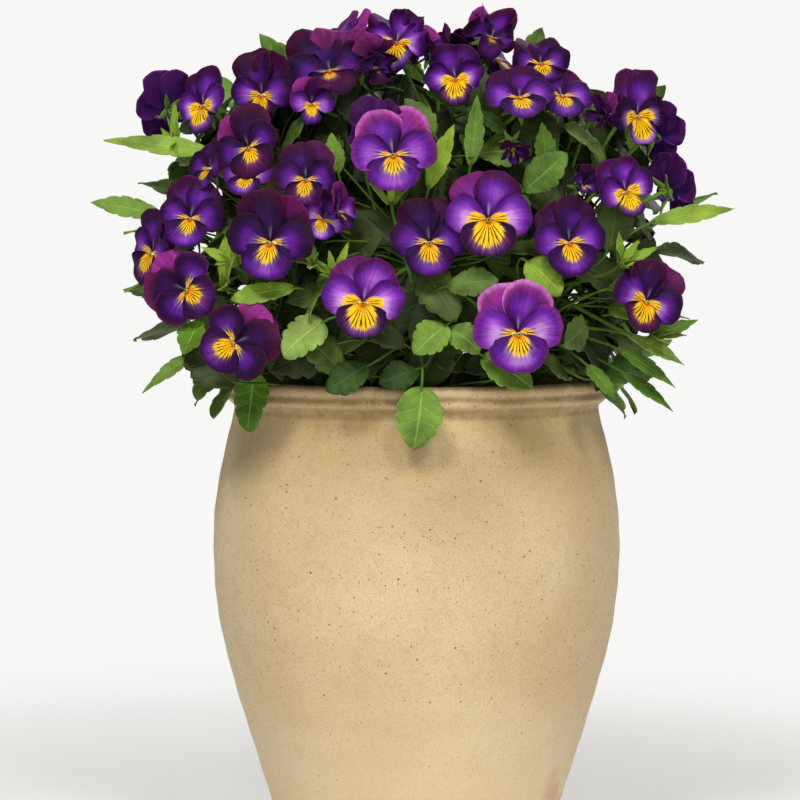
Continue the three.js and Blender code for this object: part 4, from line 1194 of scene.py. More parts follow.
def petalSheet(flower, number, stretch, sway, look, rng):
    # a polar grid over the petal, phi round from its middle line and t out from the throat, lifted off
    # the flower's plane and folded forward by the cup
    usual = (rng.uniform(0.7, 1.4), 1.0, 1.0)
    ruffled, lipWidth, taller = flowerShapes.get(flower["name"], usual)
    kind, middle, spread, length, *rest = petals["forms"][number]
    if kind == "lip":
        spread = spread * lipWidth
    if kind == "upper":
        length = length * taller
    form = (kind, middle, spread, length, *rest)
    across = np.linspace(-1, 1, petals["rays"])
    phi = 0.997 * spread * np.sin(np.pi / 2 * across)
    t = np.linspace(0, 1, petals["rings"])[:, None] ** 0.85
    waves = rng.uniform(0, 2 * np.pi, 4)
    reach = petalReach(form, phi, across, t, stretch, ruffled, waves)
    lift = petalLift(form, phi, across, t, reach, ruffled, waves, rng.uniform(-0.1, 0.06))
    crumple = petals["crumple"] * max(0, ruffled - 1.1) * np.sin(2.1 * np.pi * across + waves[1])
    crumple = crumple * smooth(0.35, 1, reach)
    fold = np.radians(flower["cup"] * smooth(petals["throat"], 0.25, reach) + crumple)
    hand = -1 if flower["mirrored"] else 1
    turn = np.radians(middle + phi + sway * t)
    outwards = np.cos(turn)[..., None] * flower["crown"] + hand * np.sin(turn)[..., None] * flower["right"]
    run = flower["half"] * (reach * np.cos(fold) - lift * np.sin(fold))
    rise = flower["half"] * (reach * np.sin(fold) + lift * np.cos(fold))
    front = flower["hub"] + outwards * run[..., None] + flower["look"] * rise[..., None]
    face = flower["look"] * np.cos(fold)[..., None] - outwards * np.sin(fold)[..., None]
    thick = petals["base"] + (petals["edge"] - petals["base"]) * t
    toLip, edge = np.broadcast_arrays(phi * (1 if middle <= 180 else -1), t)
    seed = flower["seed"] % 97 + 7.3 * number
    values, backValues = petalValues(form, toLip, reach, edge, look, seed)
    return closedSheet(front, front - face * thick[..., None], values, backValues)


def plainPetal(hexColour):  # values of the small parts that take one colour
    return {"petalGround": linear(hexColour), "petalRay": np.array([0.5, 0.5, 0.5]),
            "petalFan": np.array([0.0, 0.0, 3.0]), "petalGold": np.array([-1.0, 0.0, 0.0])}


def throatParts(flower, rng):
    # the pistil's knob, two beards of short hairs, and the spur behind the lip
    hub, look, crown, right, half = (flower[k] for k in ("hub", "look", "crown", "right", "half"))
    pistil, hair, spurs = (half * np.array(petals[k]) for k in ("pistilRadii", "hairRadii", "spurRadii"))
    t = np.linspace(0, 1, len(pistil))[:, None]
    knob = hub + look * half * (0.16 * t - 0.02) - crown * half * 0.02
    found = [tube(knob, pistil, 8, right, plainPetal(petals["pistil"]))]
    for hand in (1, -1):
        for i in range(petals["hairs"]):
            place = hub + right * hand * half * (0.075 + 0.012 * i) + crown * half * (0.03 - 0.004 * i)
            place = place + look * half * 0.015
            lean = unit(look + right * hand * rng.uniform(-0.5, 0.3) - crown * rng.uniform(0, 0.7))
            path = place + lean * half * np.array([0, 0.05, 0.09])[:, None]
            found.append(tube(path, hair, 3, crown, plainPetal(petals["cream"])))
    s = np.linspace(0, 1, len(spurs))[:, None]
    spur = hub - look * half * (0.02 + 0.5 * s) - crown * half * (0.16 + 0.06 * s - 0.1 * s ** 2)
    return found + [tube(spur, spurs, 10, right, plainPetal(petals["back"]))]


def petalMaterial():
    # living petal tissue: velvet matt, with veins that fan out from the throat; the yellow carries
    # dark whiskers, and a thin paler line along the rim is a painted highlight
    material, tree = newMaterial("pansy_petal")
    ground = addNode(tree, "Attribute", {}, take="Color", attribute_name="petalGround")
    (phase, reach, edge), (zone, turn, seed), (inside, haloShare, rust) = (
        addNode(tree, "SeparateXYZ", {
            "Vector": addNode(tree, "Attribute", {}, take="Vector", attribute_name=layer),
        }).node.outputs
        for layer in ("petalRay", "petalFan", "petalGold"))
    # veins: long noise, about 13 across for each 60 degrees, and finer ones between
    wide = addNode(tree, "Math", {0: turn, 1: 13.0}, operation="MULTIPLY")
    far = addNode(tree, "Math", {0: reach, 1: 1.6}, operation="MULTIPLY")
    place = addNode(tree, "CombineXYZ", {"X": wide, "Y": far, "Z": seed})
    streak = addNode(tree, "TexNoise", {"Vector": place, "Scale": 1.0, "Detail": 3.0})
    finer = addNode(tree, "VectorMath", {0: place, 1: (2.6, 1.2, 1.0)}, operation="MULTIPLY")
    fine = addNode(tree, "TexNoise", {"Vector": finer, "Scale": 1.0, "Detail": 2.0})
    both = addNode(tree, "Math", {0: streak, 1: fine}, operation="ADD")
    gain = addNode(tree, "MapRange", {
        "Value": both, "From Min": 0.7, "From Max": 1.3, "To Min": 0.74, "To Max": 1.34,
    })
    colour = addNode(tree, "VectorMath", {0: ground, "Scale": gain}, operation="SCALE")
    # clouds, a few millimetres wide, that take the evenness off the violet
    spot = addNode(tree, "TexCoord", {}, take="Object")
    cloud = addNode(tree, "TexNoise", {"Vector": spot, "Scale": cells(5.882), "Detail": 2.0})
    cloudGain = addNode(tree, "MapRange", {
        "Value": cloud, "From Min": 0.3, "From Max": 0.7, "To Min": 0.82, "To Max": 1.18,
    })
    colour = addNode(tree, "VectorMath", {0: colour, "Scale": cloudGain}, operation="SCALE")
    # the yellow ends in ragged rays, with a pale halo that is drawn out along the veins
    ragged = addNode(tree, "MapRange", {
        "Value": both, "From Min": 0.7, "From Max": 1.3, "To Min": -0.07, "To Max": 0.07,
    })
    depth = addNode(tree, "Math", {0: inside, 1: ragged}, operation="ADD")
    around = addNode(tree, "MapRange", {
        "Value": depth, "From Min": -0.24, "From Max": 0.0, "To Max": 0.8,
    }, interpolation_type="SMOOTHSTEP")
    around = addNode(tree, "Math", {0: around, 1: haloShare}, operation="MULTIPLY")
    border = addNode(tree, "Mix", {0: rust, 6: paint(petals["halo"]), 7: paint(petals["rust"])},
                     take=2, data_type="RGBA")
    ripe = addNode(tree, "MapRange", {"Value": reach, "From Min": 0.26, "From Max": 0.1})
    yellow = addNode(tree, "Mix", {0: ripe, 6: paint(petals["yellow"]), 7: paint(petals["orange"])},
                     take=2, data_type="RGBA")
    filled = addNode(tree, "MapRange", {
        "Value": depth, "From Min": -0.07, "From Max": 0.05,
    }, interpolation_type="SMOOTHSTEP")
    # whiskers: crests of a wave round the throat, widest in their middle
    bend = addNode(tree, "TexNoise", {"Vector": place, "Scale": 2.0})
    shift = addNode(tree, "MapRange", {
        "Value": bend, "From Min": 0.3, "From Max": 0.7, "To Min": -0.2, "To Max": 0.2,
    })
    moved = addNode(tree, "Math", {0: phase, 1: shift}, operation="ADD")
    angle = addNode(tree, "Math", {0: moved, 1: 2 * np.pi}, operation="MULTIPLY")
    wave = addNode(tree, "Math", {0: angle}, operation="COSINE")
    off = addNode(tree, "Math", {0: reach, 1: 0.34}, operation="SUBTRACT")
    square = addNode(tree, "Math", {0: off, 1: off}, operation="MULTIPLY")
    low = addNode(tree, "Math", {0: square, 1: 5.0, 2: 0.22}, operation="MULTIPLY_ADD")
    above = addNode(tree, "Math", {0: wave, 1: low}, operation="SUBTRACT")
    line = addNode(tree, "MapRange", {"Value": above, "From Min": 0.0, "From Max": 0.24, "To Max": 0.92})
    line = addNode(tree, "Math", {0: line, 1: zone}, operation="MULTIPLY")
    colour = coated(tree, colour, [(around, border), (filled, yellow), (line, paint(petals["whisker"]))])
    # painted highlight: a thin paler line along the margin
    rim = addNode(tree, "MapRange", {"Value": edge, "From Min": 0.965, "From Max": 0.995, "To Max": 0.35})
    highlighted = addNode(tree, "VectorMath", {0: colour, 1: (0.06, 0.015, 0.05)}, operation="ADD")
    colour = addNode(tree, "Mix", {0: rim, 6: colour, 7: highlighted}, take=2, data_type="RGBA")
    bump = addNode(tree, "Bump", {"Height": both, "Strength": 0.35, "Distance": 0.0004})
    finishMaterial(tree, addNode(tree, "BsdfPrincipled", {
        "Base Color": colour, "Roughness": 0.6, "IOR": 1.4, "Specular IOR Level": 0.13,
        "Sheen Weight": 0.05, "Sheen Roughness": 0.4, "Sheen Tint": paint(petals["ash"]), "Normal": bump,
    }))
    return material


def flowerParts(flower):
    draw = makeDraw(flower["seed"])
    rng = np.random.default_rng(flower["seed"])
    values = flowerLooks.get(flower["name"])
    if values is None:
        values = [value * rng.uniform(0.8, 1.2) for value in tintLooks[flower["tint"]]]
    look = dict(zip(lookNames, values))
    parts = []
    for number in range(len(petals["forms"])):
        stretch = 0.94 + 0.12 * draw()
        sway = 6 * (draw() - 0.5)
        parts.append(petalSheet(flower, number, stretch, sway, look, rng))
    flower["cloud"] = np.concatenate([part["points"][::2] for part in parts])
    return parts + throatParts(flower, rng)


def makeBlooms():
    material = petalMaterial()
    nodes = {}
    for flower in flowers.values():
        nodes.setdefault(flower["node"], []).append(flower)
    for node, members in nodes.items():
        parts = [part for flower in members for part in flowerParts(flower)]
        makePiece(node + "_petals", joinParts(parts), material, node)


makeBlooms()
print("blooms")

# Foliage: stems, stalks and leaves of each plant, with scalloped blades

leafStyle = {
    "rows": 36, "columns": 9, "smallRows": 16, "smallColumns": 5, "coreRows": 8, "shootRows": 11,
    "thick": 0.5, "margin": 0.24,
    "forms": {  # peak of the width, fullness, teeth to a side, depth of the notches, veins
        "broad": (0.86, 0.62, 5, 0.17, 5.0),
        "toothed": (0.98, 0.66, 5, 0.17, 5.0),
        "slim": (0.82, 0.85, 5, 0.18, 4.5),
        "sepal": (0.55, 0.8, 1, 0.0, 2.0),
    },
    "dark": "061203", "mid": "4a7217", "bright": "8fa82c", "dusty": "899b50", "vein": "a9bd5e",
    "under": "667f36",
}

# From 0, deep green, to 1, yellow green, and how dusty, for each listed leaf in turn; a tone is the leaf's
# own green with painted light and shade, darker where a leaf is in shade and yellower where it is lit
leafTones = [
    (0.52, 0.26), (0.50, 0.60), (0.55, 0.25), (0.72, 0.15), (0.45, 0.20), (0.38, 0.0), (0.30, 0.10),
    (0.45, 0.3), (0.45, 0.1), (0.70, 0.2), (0.55, 0.2), (0.55, 0.0), (0.50, 0.3), (0.15, 0.0),
    (0.12, 0.0), (0.25, 0.2), (0.75, 0.3), (0.80, 0.1), (0.5, 0.1), (0.4, 0.1), (0.45, 0.0),
    (0.35, 0.1), (0.55, 0.3), (0.80, 0.0), (0.45, 0.2), (0.6, 0.1), (0.35, 0.1), (0.5, 0.1),
    (0.6, 0.2), (0.5, 0.1), (0.7, 0.1),
]


def leafColour(tone, dust):
    # tone 0, nearly black, is painted shade; the rise to yellow green is partly the leaves' own green and
    # partly painted light
    dark, mid, bright, dusty = (linear(leafStyle[k]) for k in ("dark", "mid", "bright", "dusty"))
    colour = dark + (mid - dark) * min(1, tone * 2)
    colour = colour + (bright - colour) * max(0, tone * 2 - 1)
    return colour + (dusty - colour) * dust


def leafSheet(leaf, rows, columns, tone, dust, rng):
    # u runs along the midrib and v across. Half width = half w(u) v, with w = sin(pi u^peak)^full cut
    # by scallops; height = fold |v| w half - droop length u^2, with quilting between the veins
    peak, full, teeth, notch, veins = leafStyle["forms"][leaf["form"]]
    length, ahead, side, face = leafFrame(leaf)
    half = leaf["half"]
    u = np.linspace(0, 1, rows)[:, None]
    v = np.sin(np.linspace(-1, 1, columns) * np.pi / 2 * 0.94)[None, :] / np.sin(np.pi / 2 * 0.94)
    width = np.maximum(np.sin(np.pi * u ** peak), 0) ** full + 0.12 * (1 - u) ** 6
    width = np.maximum(width, 0.015)
    share = (u * teeth + 0.001) % 1
    scallop = 1 - notch * (1 - np.sqrt(np.clip(4 * share ** 1.4 * (1 - share ** 1.4), 0, 1)))
    outline = width * (1 + (scallop - 1) * np.abs(v) ** 3)
    rake = 0.045 * (share - 0.5) * np.abs(v) ** 4  # teeth lean towards the tip
    wave = rng.uniform(0, 2 * np.pi, 3)
    quilt = u * veins - 0.9 * np.abs(v)
    lift = plan["fold"] * np.abs(v) * width * half
    lift = lift - leaf["droop"] * length * u ** 2
    lift = lift + 0.06 * half * np.cos(2 * np.pi * quilt) * np.abs(v) * (1 - v * v)
    lift = lift + 0.12 * half * v * v * np.sin(2 * np.pi * 1.3 * u + wave[0] + 1.7 * np.sign(v))
    lift = lift - 0.10 * half * v ** 4 * rng.uniform(0.2, 1.4)
    sway = 0.05 * half * np.sin(np.pi * u + wave[1])
    front = (leaf["base"] + ahead * (length * (u + rake * (1 - u)))[..., None]
             + side * (v * outline * half + sway)[..., None] + face * lift[..., None])
    thick = leafStyle["thick"] + (leafStyle["margin"] - leafStyle["thick"]) * np.abs(v)
    thick = thick + 0.5 * np.exp(-(v / 0.12) ** 2) * (1 - u)
    back = front - face * np.broadcast_to(thick, front.shape[:2])[..., None]
    ground = leafColour(tone, dust) * np.ones((rows, columns, 1))
    ground = ground * (1 + 0.05 * np.cos(2 * np.pi * quilt) * (1 - v * v))[..., None]
    ground = ground * (1.2 - 0.2 * u)[..., None]
    seed = rng.uniform(0, 90)
    values = {
        "leafGround": ground,
        "leafRay": np.stack(np.broadcast_arrays(u, abs(v), seed), -1),
        "leafVein": np.stack(np.broadcast_arrays(quilt, min(1, 0.1 + 2 * tone), dust), -1),
    }
    under = ground * 0.55 + linear(leafStyle["under"]) * 0.45 * min(1, 0.06 + 1.6 * tone)
    backValues = dict(values, leafGround=under)
    return closedSheet(front, back, values, backValues)


def stalkTube(path, radii, sides, tone, rng, hint=up, ribs=0.0):
    # a round green stalk: leaf values with no veins
    path = np.asarray(path)
    seed = rng.uniform(0, 90)
    return tube(path, radii, sides, hint, {
        "leafGround": leafColour(tone, 0.1), "leafRay": np.array([0.5, 0.5, seed]),
        "leafVein": np.array([0.0, 0.0, 0.1]),
    }, ribs=ribs)


def leafMaterial(name):
    # a living pansy leaf: cuticle with a soft gloss, pale netted veins and a thin pale margin
    material, tree = newMaterial(name)
    ground = addNode(tree, "Attribute", {}, take="Color", attribute_name="leafGround")
    (along, across, _), (phase, blade, _) = (
        addNode(tree, "SeparateXYZ", {
            "Vector": addNode(tree, "Attribute", {}, take="Vector", attribute_name=layer),
        }).node.outputs
        for layer in ("leafRay", "leafVein"))
    spot = addNode(tree, "TexCoord", {}, take="Object")
    bend = addNode(tree, "TexNoise", {"Vector": spot, "Scale": cells(3.846)})
    shift = addNode(tree, "MapRange", {
        "Value": bend, "From Min": 0.3, "From Max": 0.7, "To Min": -0.12, "To Max": 0.12,
    })
    moved = addNode(tree, "Math", {0: phase, 1: shift}, operation="ADD")
    part = addNode(tree, "Math", {0: moved}, operation="FRACT")
    middle = addNode(tree, "Math", {0: part, 1: 0.5}, operation="SUBTRACT")
    off = addNode(tree, "Math", {0: middle}, operation="ABSOLUTE")
    lateral = addNode(tree, "MapRange", {"Value": off, "From Min": 0.1, "From Max": 0.02, "To Max": 0.46})
    rib = addNode(tree, "MapRange", {"Value": across, "From Min": 0.09, "From Max": 0.02})
    lines = addNode(tree, "Math", {0: lateral, 1: rib}, operation="MAXIMUM")
    net = addNode(tree, "TexVoronoi", {"Vector": spot, "Scale": cells(1.111)},
                  feature="DISTANCE_TO_EDGE")
    mesh = addNode(tree, "MapRange", {"Value": net, "From Min": 0.08, "From Max": 0.0, "To Max": 0.1})
    clouds = addNode(tree, "TexNoise", {"Vector": spot, "Scale": cells(13.33), "Detail": 3.0})
    gain = addNode(tree, "MapRange", {
        "Value": clouds, "From Min": 0.3, "From Max": 0.7, "To Min": 0.62, "To Max": 1.38,
    })
    colour = addNode(tree, "VectorMath", {0: ground, "Scale": gain}, operation="SCALE")
    lighter = addNode(tree, "VectorMath", {0: colour, "Scale": 1.6}, operation="SCALE")
    pale = addNode(tree, "Mix", {0: 0.3, 6: lighter, 7: paint(leafStyle["vein"])}, take=2, data_type="RGBA")
    share = addNode(tree, "Math", {0: lines, 1: mesh}, operation="ADD")
    veined = addNode(tree, "Math", {0: blade, 1: 0.8}, operation="MULTIPLY")
    share = addNode(tree, "Math", {0: share, 1: veined}, operation="MULTIPLY")
    margin = addNode(tree, "MapRange", {
        "Value": across, "From Min": 0.93, "From Max": 0.99, "To Max": 0.6,
    })
    margin = addNode(tree, "Math", {0: margin, 1: blade}, operation="MULTIPLY")
    colour = coated(tree, colour, [(share, pale), (margin, pale)])
    height = addNode(tree, "Math", {0: clouds, 1: lines}, operation="SUBTRACT")
    bump = addNode(tree, "Bump", {"Height": height, "Strength": 0.6, "Distance": 0.0007})
    tooth = addNode(tree, "Math", {0: along, 1: 0.03}, operation="MULTIPLY")
    rough = addNode(tree, "Math", {0: tooth, 1: 0.5}, operation="ADD")
    finishMaterial(tree, addNode(tree, "BsdfPrincipled", {
        "Base Color": colour, "Roughness": rough, "IOR": 1.42, "Specular IOR Level": 0.24,
        "Normal": bump,
    }))
    return material


def stemParts(place, rng):
    # the stem, lightly ribbed, from the soil to its head
    shares = np.linspace(0, 1, 22)
    path = np.array([stemPoint(place, s) for s in shares])
    path = np.concatenate([[path[0] - up * plan["stemDepth"]], path])
    radii = plan["stemRadius"] * (1 - 0.4 * np.concatenate([[0], shares]))
    found = [stalkTube(path, radii, 12, 0.5, rng, hint=np.array([0, 1.0, 0]), ribs=0.05)]
    return found + shootParts(stemPoint(place, 1), up, 16, 0.7, rng)


def shootParts(head, lean, size, tone, rng):
    # young leaves round a growing tip, the outer ones longer and more spread
    side = unit(np.cross(lean, [0.3, 1.0, 0.1]))
    other = np.cross(lean, side)
    found = []
    for i in range(8):
        turn = np.radians(goldenTurn * i + rng.uniform(0, 20))
        out = side * np.cos(turn) + other * np.sin(turn)
        ahead = unit(out * (0.25 + 0.11 * i) + lean * 0.8)
        length = size * (0.55 + 0.08 * i) * rng.uniform(0.85, 1.15)
        leaf = {"base": head + out * 0.8 - lean * 1.5, "tip": head + ahead * length, "half": length * 0.17,
                "form": "slim", "droop": 0.12, "normal": unit(lean * 0.6 - out * 0.5)}
        found.append(leafSheet(leaf, leafStyle["shootRows"], leafStyle["smallColumns"], tone, 0.05, rng))
    return found


# Young side shoots between the flowers: across, rise, behind, size, tone
shoots = [
    (-103, 48, 10, 22, 0.8), (-96, 60, 14, 20, 0.85), (-55, 60, 12, 18, 0.82), (-44, 53, 14, 16, 0.75),
    (125, 22, 12, 20, 0.55), (108, 60, 14, 18, 0.7), (-14, 92, 14, 15, 0.8), (-128, 122, 10, 18, 0.7),
    (-42, 122, 62, 24, 0.6), (0, 132, 78, 24, 0.65), (36, 126, 74, 22, 0.6), (-16, 128, 118, 24, 0.6),
    (24, 120, 124, 22, 0.65), (-60, 100, 120, 22, 0.6), (62, 98, 116, 22, 0.6),
]


def makeShoots(petalPlaces):
    rng = np.random.default_rng(41)
    for across, rise, behind, size, tone in shoots:
        head = seenPoint(across, rise, domeBulge(across, rise) - behind)
        lean = unit(np.array([head[0] / plan["domeHalfWidth"], -0.8, 0.9]))
        place = nearestStems(head, 1)[0]
        root = stemPoint(place, 0.7)
        t = np.linspace(0, 1, 9)
        path = bezier(root, root + place["out"] * 12 + up * 6, head - lean * 14, head, t)
        place["blades"].append(stalkTube(path, np.linspace(1.3, 0.9, 9), 6, 0.5, rng))
        place["blades"] += [
            part for part in shootParts(head, lean, size, tone, rng)
            if clashes(part["points"][::9], petalPlaces, clear=0.8, front=26) == 0
        ]


def petalTree():
    # the petals' points, to keep leaves and stalks off them
    cloud = np.concatenate([flower["cloud"] for flower in flowers.values()])
    owner = np.concatenate([np.full(len(flower["cloud"]), i) for i, flower in enumerate(flowers.values())])
    faces = {key: np.array([flower[key] for flower in flowers.values()]) for key in ("hub", "look", "half")}
    return pointTree(cloud), owner, faces


def clashes(points, petalPlaces, own=-1, clear=1.8, front=20):
    # how many of the points touch a petal, or stand before a flower's face, of another flower
    tree, owner, faces = petalPlaces
    count = 0
    for point in points:
        _, index, distance = tree.find(point)
        count += distance < clear and owner[index] != own
    away = np.asarray(points)[:, None, :] - faces["hub"]
    along = (away * faces["look"]).sum(-1)
    aside = np.linalg.norm(away - along[..., None] * faces["look"], axis=-1)
    before = (along > 0) & (along < front) & (aside < 0.9 * faces["half"])
    if own >= 0:
        before[:, own] = False
    return count + int(before.sum())


def clearStalk(flower, petalPlaces, own):
    # the solid's own stalk, or where it crosses other petals one that dips behind them
    top = flower["hub"] - flower["look"] * (plan["petal"] + plan["gap"] + plan["calyx"])
    t = np.linspace(0, 1, 15)
    choices = [flower["curve"]] if "curve" in flower else []
    for place in nearestStems(flower["hub"], 4):
        end = stemPoint(place, 0.8)
        inwards = unit(end - top)
        for share in (0.8, 0.55, 0.95):
            end = stemPoint(place, share)
            for handle in (10, 5):
                for swing in (0, 14, -14, 28, -28):
                    b = top - flower["look"] * handle + inwards * 8 + flower["right"] * swing * 0.5
                    choices.append((top, b - up * 6, end + up * 18 - inwards * 6, end))
    best, score = None, 1e9
    for curve in choices:
        found = clashes(bezier(*curve, t), petalPlaces, own)
        if found < score:
            best, score = curve, found
        if found == 0:
            break
    return best


# A flower's stalk: radii from the calyx to the stem, and where they lie. The calyx's cup: depths behind
# the flower and radii as shares of the cup's width, itself a share of the flower's half width.
stalkStyle = {
    "radii": [1.6, 1.1, 0.95, 1.15], "radiiAt": [0, 0.12, 0.5, 1], "sides": 7,
    "cupDepths": [0.2, 1.2, 3, 5, 6.4], "cupRadii": [0.9, 1, 0.95, 0.7, 0.4], "cupWidth": 0.115, "sepals": 5,
}


def stalkParts(flower, petalPlaces, own, rng):
    # the flower's stalk, its green calyx and five sepals that lie behind the petals
    hub, look, crown, right, half = (flower[k] for k in ("hub", "look", "crown", "right", "half"))
    top = hub - look * (plan["petal"] + plan["gap"])
    behind = top - look * np.array([3, 6, 9, 12])[:, None]
    if flower["partner"] and clashes(behind, petalPlaces, own, clear=1.0) > 1:
        return []
    curve = bezier(*clearStalk(flower, petalPlaces, own), np.linspace(0, 1, 18))
    path = np.concatenate([[top - look * 2.5], curve])
    radii = np.interp(np.linspace(0, 1, len(path)), stalkStyle["radiiAt"], stalkStyle["radii"])
    found = [stalkTube(path, radii, stalkStyle["sides"], 0.5, rng, hint=right)]
    cup = top - look * np.array(stalkStyle["cupDepths"])[:, None]
    radii = stalkStyle["cupWidth"] * half * np.array(stalkStyle["cupRadii"])
    found.append(stalkTube(cup, radii, 10, 0.55, rng, hint=right))
    for i in range(stalkStyle["sepals"]):
        turn = np.radians((i + 0.5) * 360 / stalkStyle["sepals"])
        out = np.cos(turn) * crown + np.sin(turn) * right
        base = top - look * 3 + out * half * 0.07
        tip = top - look * (2.0 + 0.34 * half) + out * half * rng.uniform(0.56, 0.66)
        leaf = {"base": base, "tip": tip, "half": half * 0.105, "form": "sepal", "droop": -0.05,
                "normal": look}
        ear = {"base": base, "tip": base - look * half * 0.22 + out * half * 0.06, "half": half * 0.09,
               "form": "sepal", "droop": 0.0, "normal": out}
        spots = [leafCorner(leaf, s, w) for s, w in ((0.4, 0), (0.6, 1), (0.6, -1), (0.8, 0), (1, 0))]
        if clashes(spots, petalPlaces, own, clear=1.2) == 0:
            found.append(leafSheet(leaf, leafStyle["coreRows"], leafStyle["smallColumns"], 0.5, 0.15, rng))
        found.append(leafSheet(ear, 5, 3, 0.6, 0.15, rng))
    return found


def petiolePath(leaf, steps, petalPlaces):
    # runs out of the stem and bends into line with the blade; straight where that would touch a petal
    root, base = leaf["rootPoint"], leaf["base"]
    length = np.linalg.norm(base - root)
    ahead = leafFrame(leaf)[1]
    t = np.linspace(0, 1, steps)[:, None]
    elbow = base - ahead * min(length * 0.4, 14)
    if base[2] > pot["height"]:
        elbow[2] = max(elbow[2], pot["height"] + 3)
    bent = root * (1 - t) ** 2 + elbow * 2 * t * (1 - t) + base * t ** 2
    bent[-1] += ahead * 1.5
    if clashes(bent[1:-1], petalPlaces) == 0:
        return bent
    straight = root + (base - root) * t
    straight[-1] += ahead * 1.5
    return straight


def leafParts(leaf, tone, dust, petalPlaces, rng, rows=leafStyle["rows"]):
    # a blade and its stalk from the stem
    fine = rows == leafStyle["rows"]
    columns = leafStyle["columns"] if fine else leafStyle["smallColumns"]
    steps = 10 if fine else 7
    path = petiolePath(leaf, steps, petalPlaces)
    radii = np.linspace(plan["petiole"], 0.7, steps) * (1 if fine else 0.8)
    return [
        leafSheet(leaf, rows, columns, tone, dust, rng),
        stalkTube(path, radii, 6 if fine else 4, 0.3 + 0.3 * tone, rng, hint=leafFrame(leaf)[2]),
    ]


# More leaves than the solids hold: how many, lowest and highest rise, depth under the dome, length
moreLeaves = {
    "tiers": [
        ("rim", 64, -16, 12, (-4, 20), (24, 36)),
        ("face", 34, 3, 14, (30, 64), (24, 34)),
        ("face", 96, 10, 90, (8, 36), (26, 40)),
        ("face", 100, 70, 150, (8, 36), (24, 36)),
        ("face", 40, 130, 166, (8, 30), (18, 28)),
        ("core", 200, 4, 135, (34, 72), (36, 52)),
        ("core", 60, 120, 158, (20, 60), (26, 38)),
        ("crown", 150, 84, 146, (0, 84), (28, 42)),
    ],
    "clear": 2.4, "apart": 4.0, "wallGap": 3.0, "boxGap": 1.0, "frontTurn": 62, "tries": 12,
    "spots": [  # where a leaf is tested: share of the length, share of half the width
        (0, 0), (0.25, -0.9), (0.25, 0.9), (0.5, 0), (0.5, -1), (0.5, 1), (0.75, -0.8), (0.75, 0.8), (1, 0),
    ],
    # half the plants' width low down, how much they swell higher up and close in at the crown
    "halfWidth": 126, "swell": 14, "closing": 70,
    "rimOutside": 101, "rimInside": 84, "rimMiddle": 104, "faceWidth": 114,
    "turnStep": 0.37, "turnPlay": 12, "straightest": 0.15,
}


def allowed(points, petalPlaces):
    # clear of the pot, of the petals and their faces, and inside the solids' box
    height = points[:, 2] - pot["height"]
    reach = np.hypot(points[:, 0], points[:, 1])
    widest = moreLeaves["halfWidth"] + moreLeaves["swell"] * smooth(30, 80, height)
    if (abs(points[:, 0]) > widest - moreLeaves["closing"] * smooth(115, 172, height)).any():
        return False
    overSoil = (reach < moreLeaves["rimInside"]) & (height > -16)
    outside = (height > 3) | (reach > moreLeaves["rimOutside"] + moreLeaves["wallGap"]) | overSoil
    low, high = (np.array(corner) / metres for corner in cadBox)
    within = (points > low + moreLeaves["boxGap"]) & (points < high - moreLeaves["boxGap"])
    if not (outside.all() and within.all()):
        return False
    return clashes(points, petalPlaces, clear=moreLeaves["clear"], front=26) == 0


def newLeaf(kind, turn, rise, depth, length, rng):
    # rim leaves hang outwards, face leaves show their blade, core leaves stand upright inside,
    # and crown leaves close the plants' top
    out = outward(turn)
    around = np.cross(up, out)
    side = rng.uniform(-1, 1)
    if kind == "rim":
        face = out * 0.8 + up * rng.uniform(0.3, 0.9)
        ahead = out * 0.5 - up * rng.uniform(0.1, 0.9) + around * side
        centre = out * (moreLeaves["rimMiddle"] - depth) + up * (pot["height"] + rise)
    elif kind == "crown":
        face = up + out * rng.uniform(-0.3, 1.0) + around * rng.uniform(-0.8, 0.8)
        ahead = out * rng.uniform(-0.2, 1) + around * side + up * rng.uniform(0, 0.6)
        centre = out * depth + up * (pot["height"] + rise)
    else:
        face = out * rng.uniform(0.5, 1) + up * rng.uniform(0.1, 0.8) + around * rng.uniform(-0.6, 0.6)
        ahead = up * rng.uniform(-0.4, 1) + around * side + out * 0.3
        widest = moreLeaves["faceWidth"] + moreLeaves["swell"] * smooth(30, 80, rise)
        widest = widest / max(abs(out[0]), 0.01)
        reach = min(domeReach(turn, max(rise, 0)) - depth, widest - 0.4 * depth)
        centre = out * reach + up * (pot["height"] + rise)
    face = unit(face)
    ahead = unit(ahead - face * (0.75 * ahead.dot(face)))
    half = length * (rng.uniform(0.26, 0.36) if kind != "core" else rng.uniform(0.3, 0.38))
    return {"base": centre - ahead * length / 2, "tip": centre + ahead * length / 2, "half": half,
            "form": "slim" if rng.uniform() < 0.25 else "toothed", "droop": rng.uniform(0.04, 0.2),
            "normal": face}


def leafSpots(leaf):
    return np.array([leafCorner(leaf, *spot) for spot in moreLeaves["spots"]])


def nearestRoot(base, roots):  # a place on a stem, preferably lower than the leaf
    def cost(root):
        return np.linalg.norm(root[1] - base) + 0.6 * max(0, root[1][2] - base[2] + 4)

    return min(roots, key=cost)


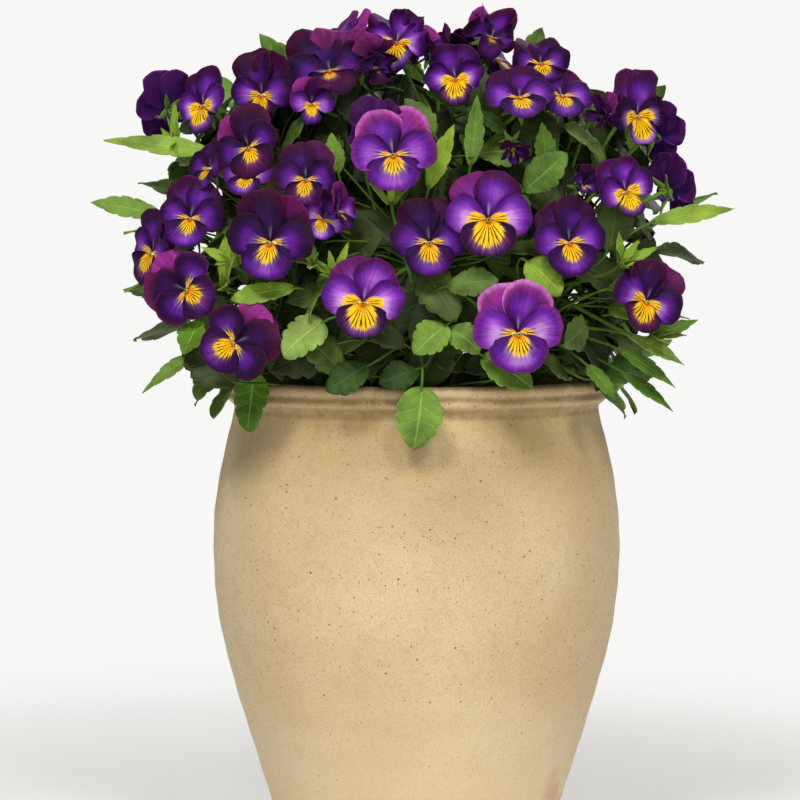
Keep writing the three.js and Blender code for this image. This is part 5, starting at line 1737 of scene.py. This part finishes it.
def tryLeaf(tier, turn, taken, roots, petalPlaces, rng):
    # a leaf of this tier at a free place, with its stem, the places it takes and its tone, or None
    kind, _, lowest, highest, depths, lengths = tier
    rise, depth = rng.uniform(lowest, highest), rng.uniform(*depths)
    length = rng.uniform(*lengths)
    if kind == "rim" and abs(turn) < moreLeaves["frontTurn"]:
        return None
    leaf = newLeaf(kind, turn, rise, depth, length, rng)
    spots = leafSpots(leaf)
    if not allowed(spots, petalPlaces):
        return None
    nearest = np.linalg.norm(spots[:, None] - taken, axis=2).min()
    if kind != "core" and nearest < moreLeaves["apart"]:
        return None
    place, leaf["rootPoint"] = nearestRoot(leaf["base"], roots)
    ahead = unit(leaf["tip"] - leaf["base"])
    if ahead.dot(unit(leaf["base"] - leaf["rootPoint"])) < moreLeaves["straightest"]:
        return None
    # painted shade: the deeper a leaf sits under the dome the darker it is, core leaves are near black as
    # the shade inside the plants, and crown leaves are darker the lower they sit
    tone = 0.56 - 0.02 * max(depth, 0)
    if kind == "core":
        tone = -0.1
    if kind == "crown":
        tone = 0.2 + 0.005 * (rise - 84)
    return leaf, place, spots, np.clip(tone + rng.normal(0, 0.14), 0.0, 0.78)


def makeMoreLeaves(petalPlaces):
    # each leaf has a few tries at a place that is free, on a stem that it can grow away from
    rng = np.random.default_rng(77)
    made = 0
    play = moreLeaves["turnPlay"]
    taken = np.concatenate([leafSpots(leaf) for leaf in leaves])
    shares = np.linspace(0.03, 0.97, 9)
    roots = [(place, stemPoint(place, share)) for place in stemPlaces for share in shares]
    for tier in moreLeaves["tiers"]:
        kind, count = tier[:2]
        rows = leafStyle["coreRows" if kind == "core" else "smallRows"]
        for i in range(count):
            for attempt in range(moreLeaves["tries"]):
                turn = goldenTurn * (i + moreLeaves["turnStep"] * attempt) + rng.uniform(-play, play)
                turn = (turn + 180) % 360 - 180
                found = tryLeaf(tier, turn, taken, roots, petalPlaces, rng)
                if found:
                    leaf, place, spots, tone = found
                    taken = np.concatenate([taken, spots])
                    place["blades"] += leafParts(leaf, tone, rng.uniform(0, 0.25), petalPlaces, rng, rows)
                    made += 1
                    break
    print("more leaves:", made)


def makeFoliage():
    material = leafMaterial("pansy_leaf")
    rng = np.random.default_rng(5)
    petalPlaces = petalTree()
    for place in stemPlaces:
        place["blades"] += stemParts(place, rng)
    for leaf in leaves:
        leaf["rootPoint"] = stemPoint(leaf["stem"], leaf["root"])
        if leaf["listed"] is None:
            tone, dust = rng.uniform(0.2, 0.65), rng.uniform(0, 0.3)
        else:
            tone, dust = leafTones[leaf["listed"]]
        leaf["stem"]["blades"] += leafParts(leaf, tone, dust, petalPlaces, rng)
    for own, flower in enumerate(flowers.values()):
        place = flower.get("stem") or nearestStems(flower["hub"], 1)[0]
        place["blades"] += stalkParts(flower, petalPlaces, own, rng)
    makeShoots(petalPlaces)
    makeMoreLeaves(petalPlaces)
    for place in stemPlaces:
        whole = joinParts(place["blades"])
        makePiece(place["name"] + "_foliage", whole, material, place["name"])


makeFoliage()
print("foliage")
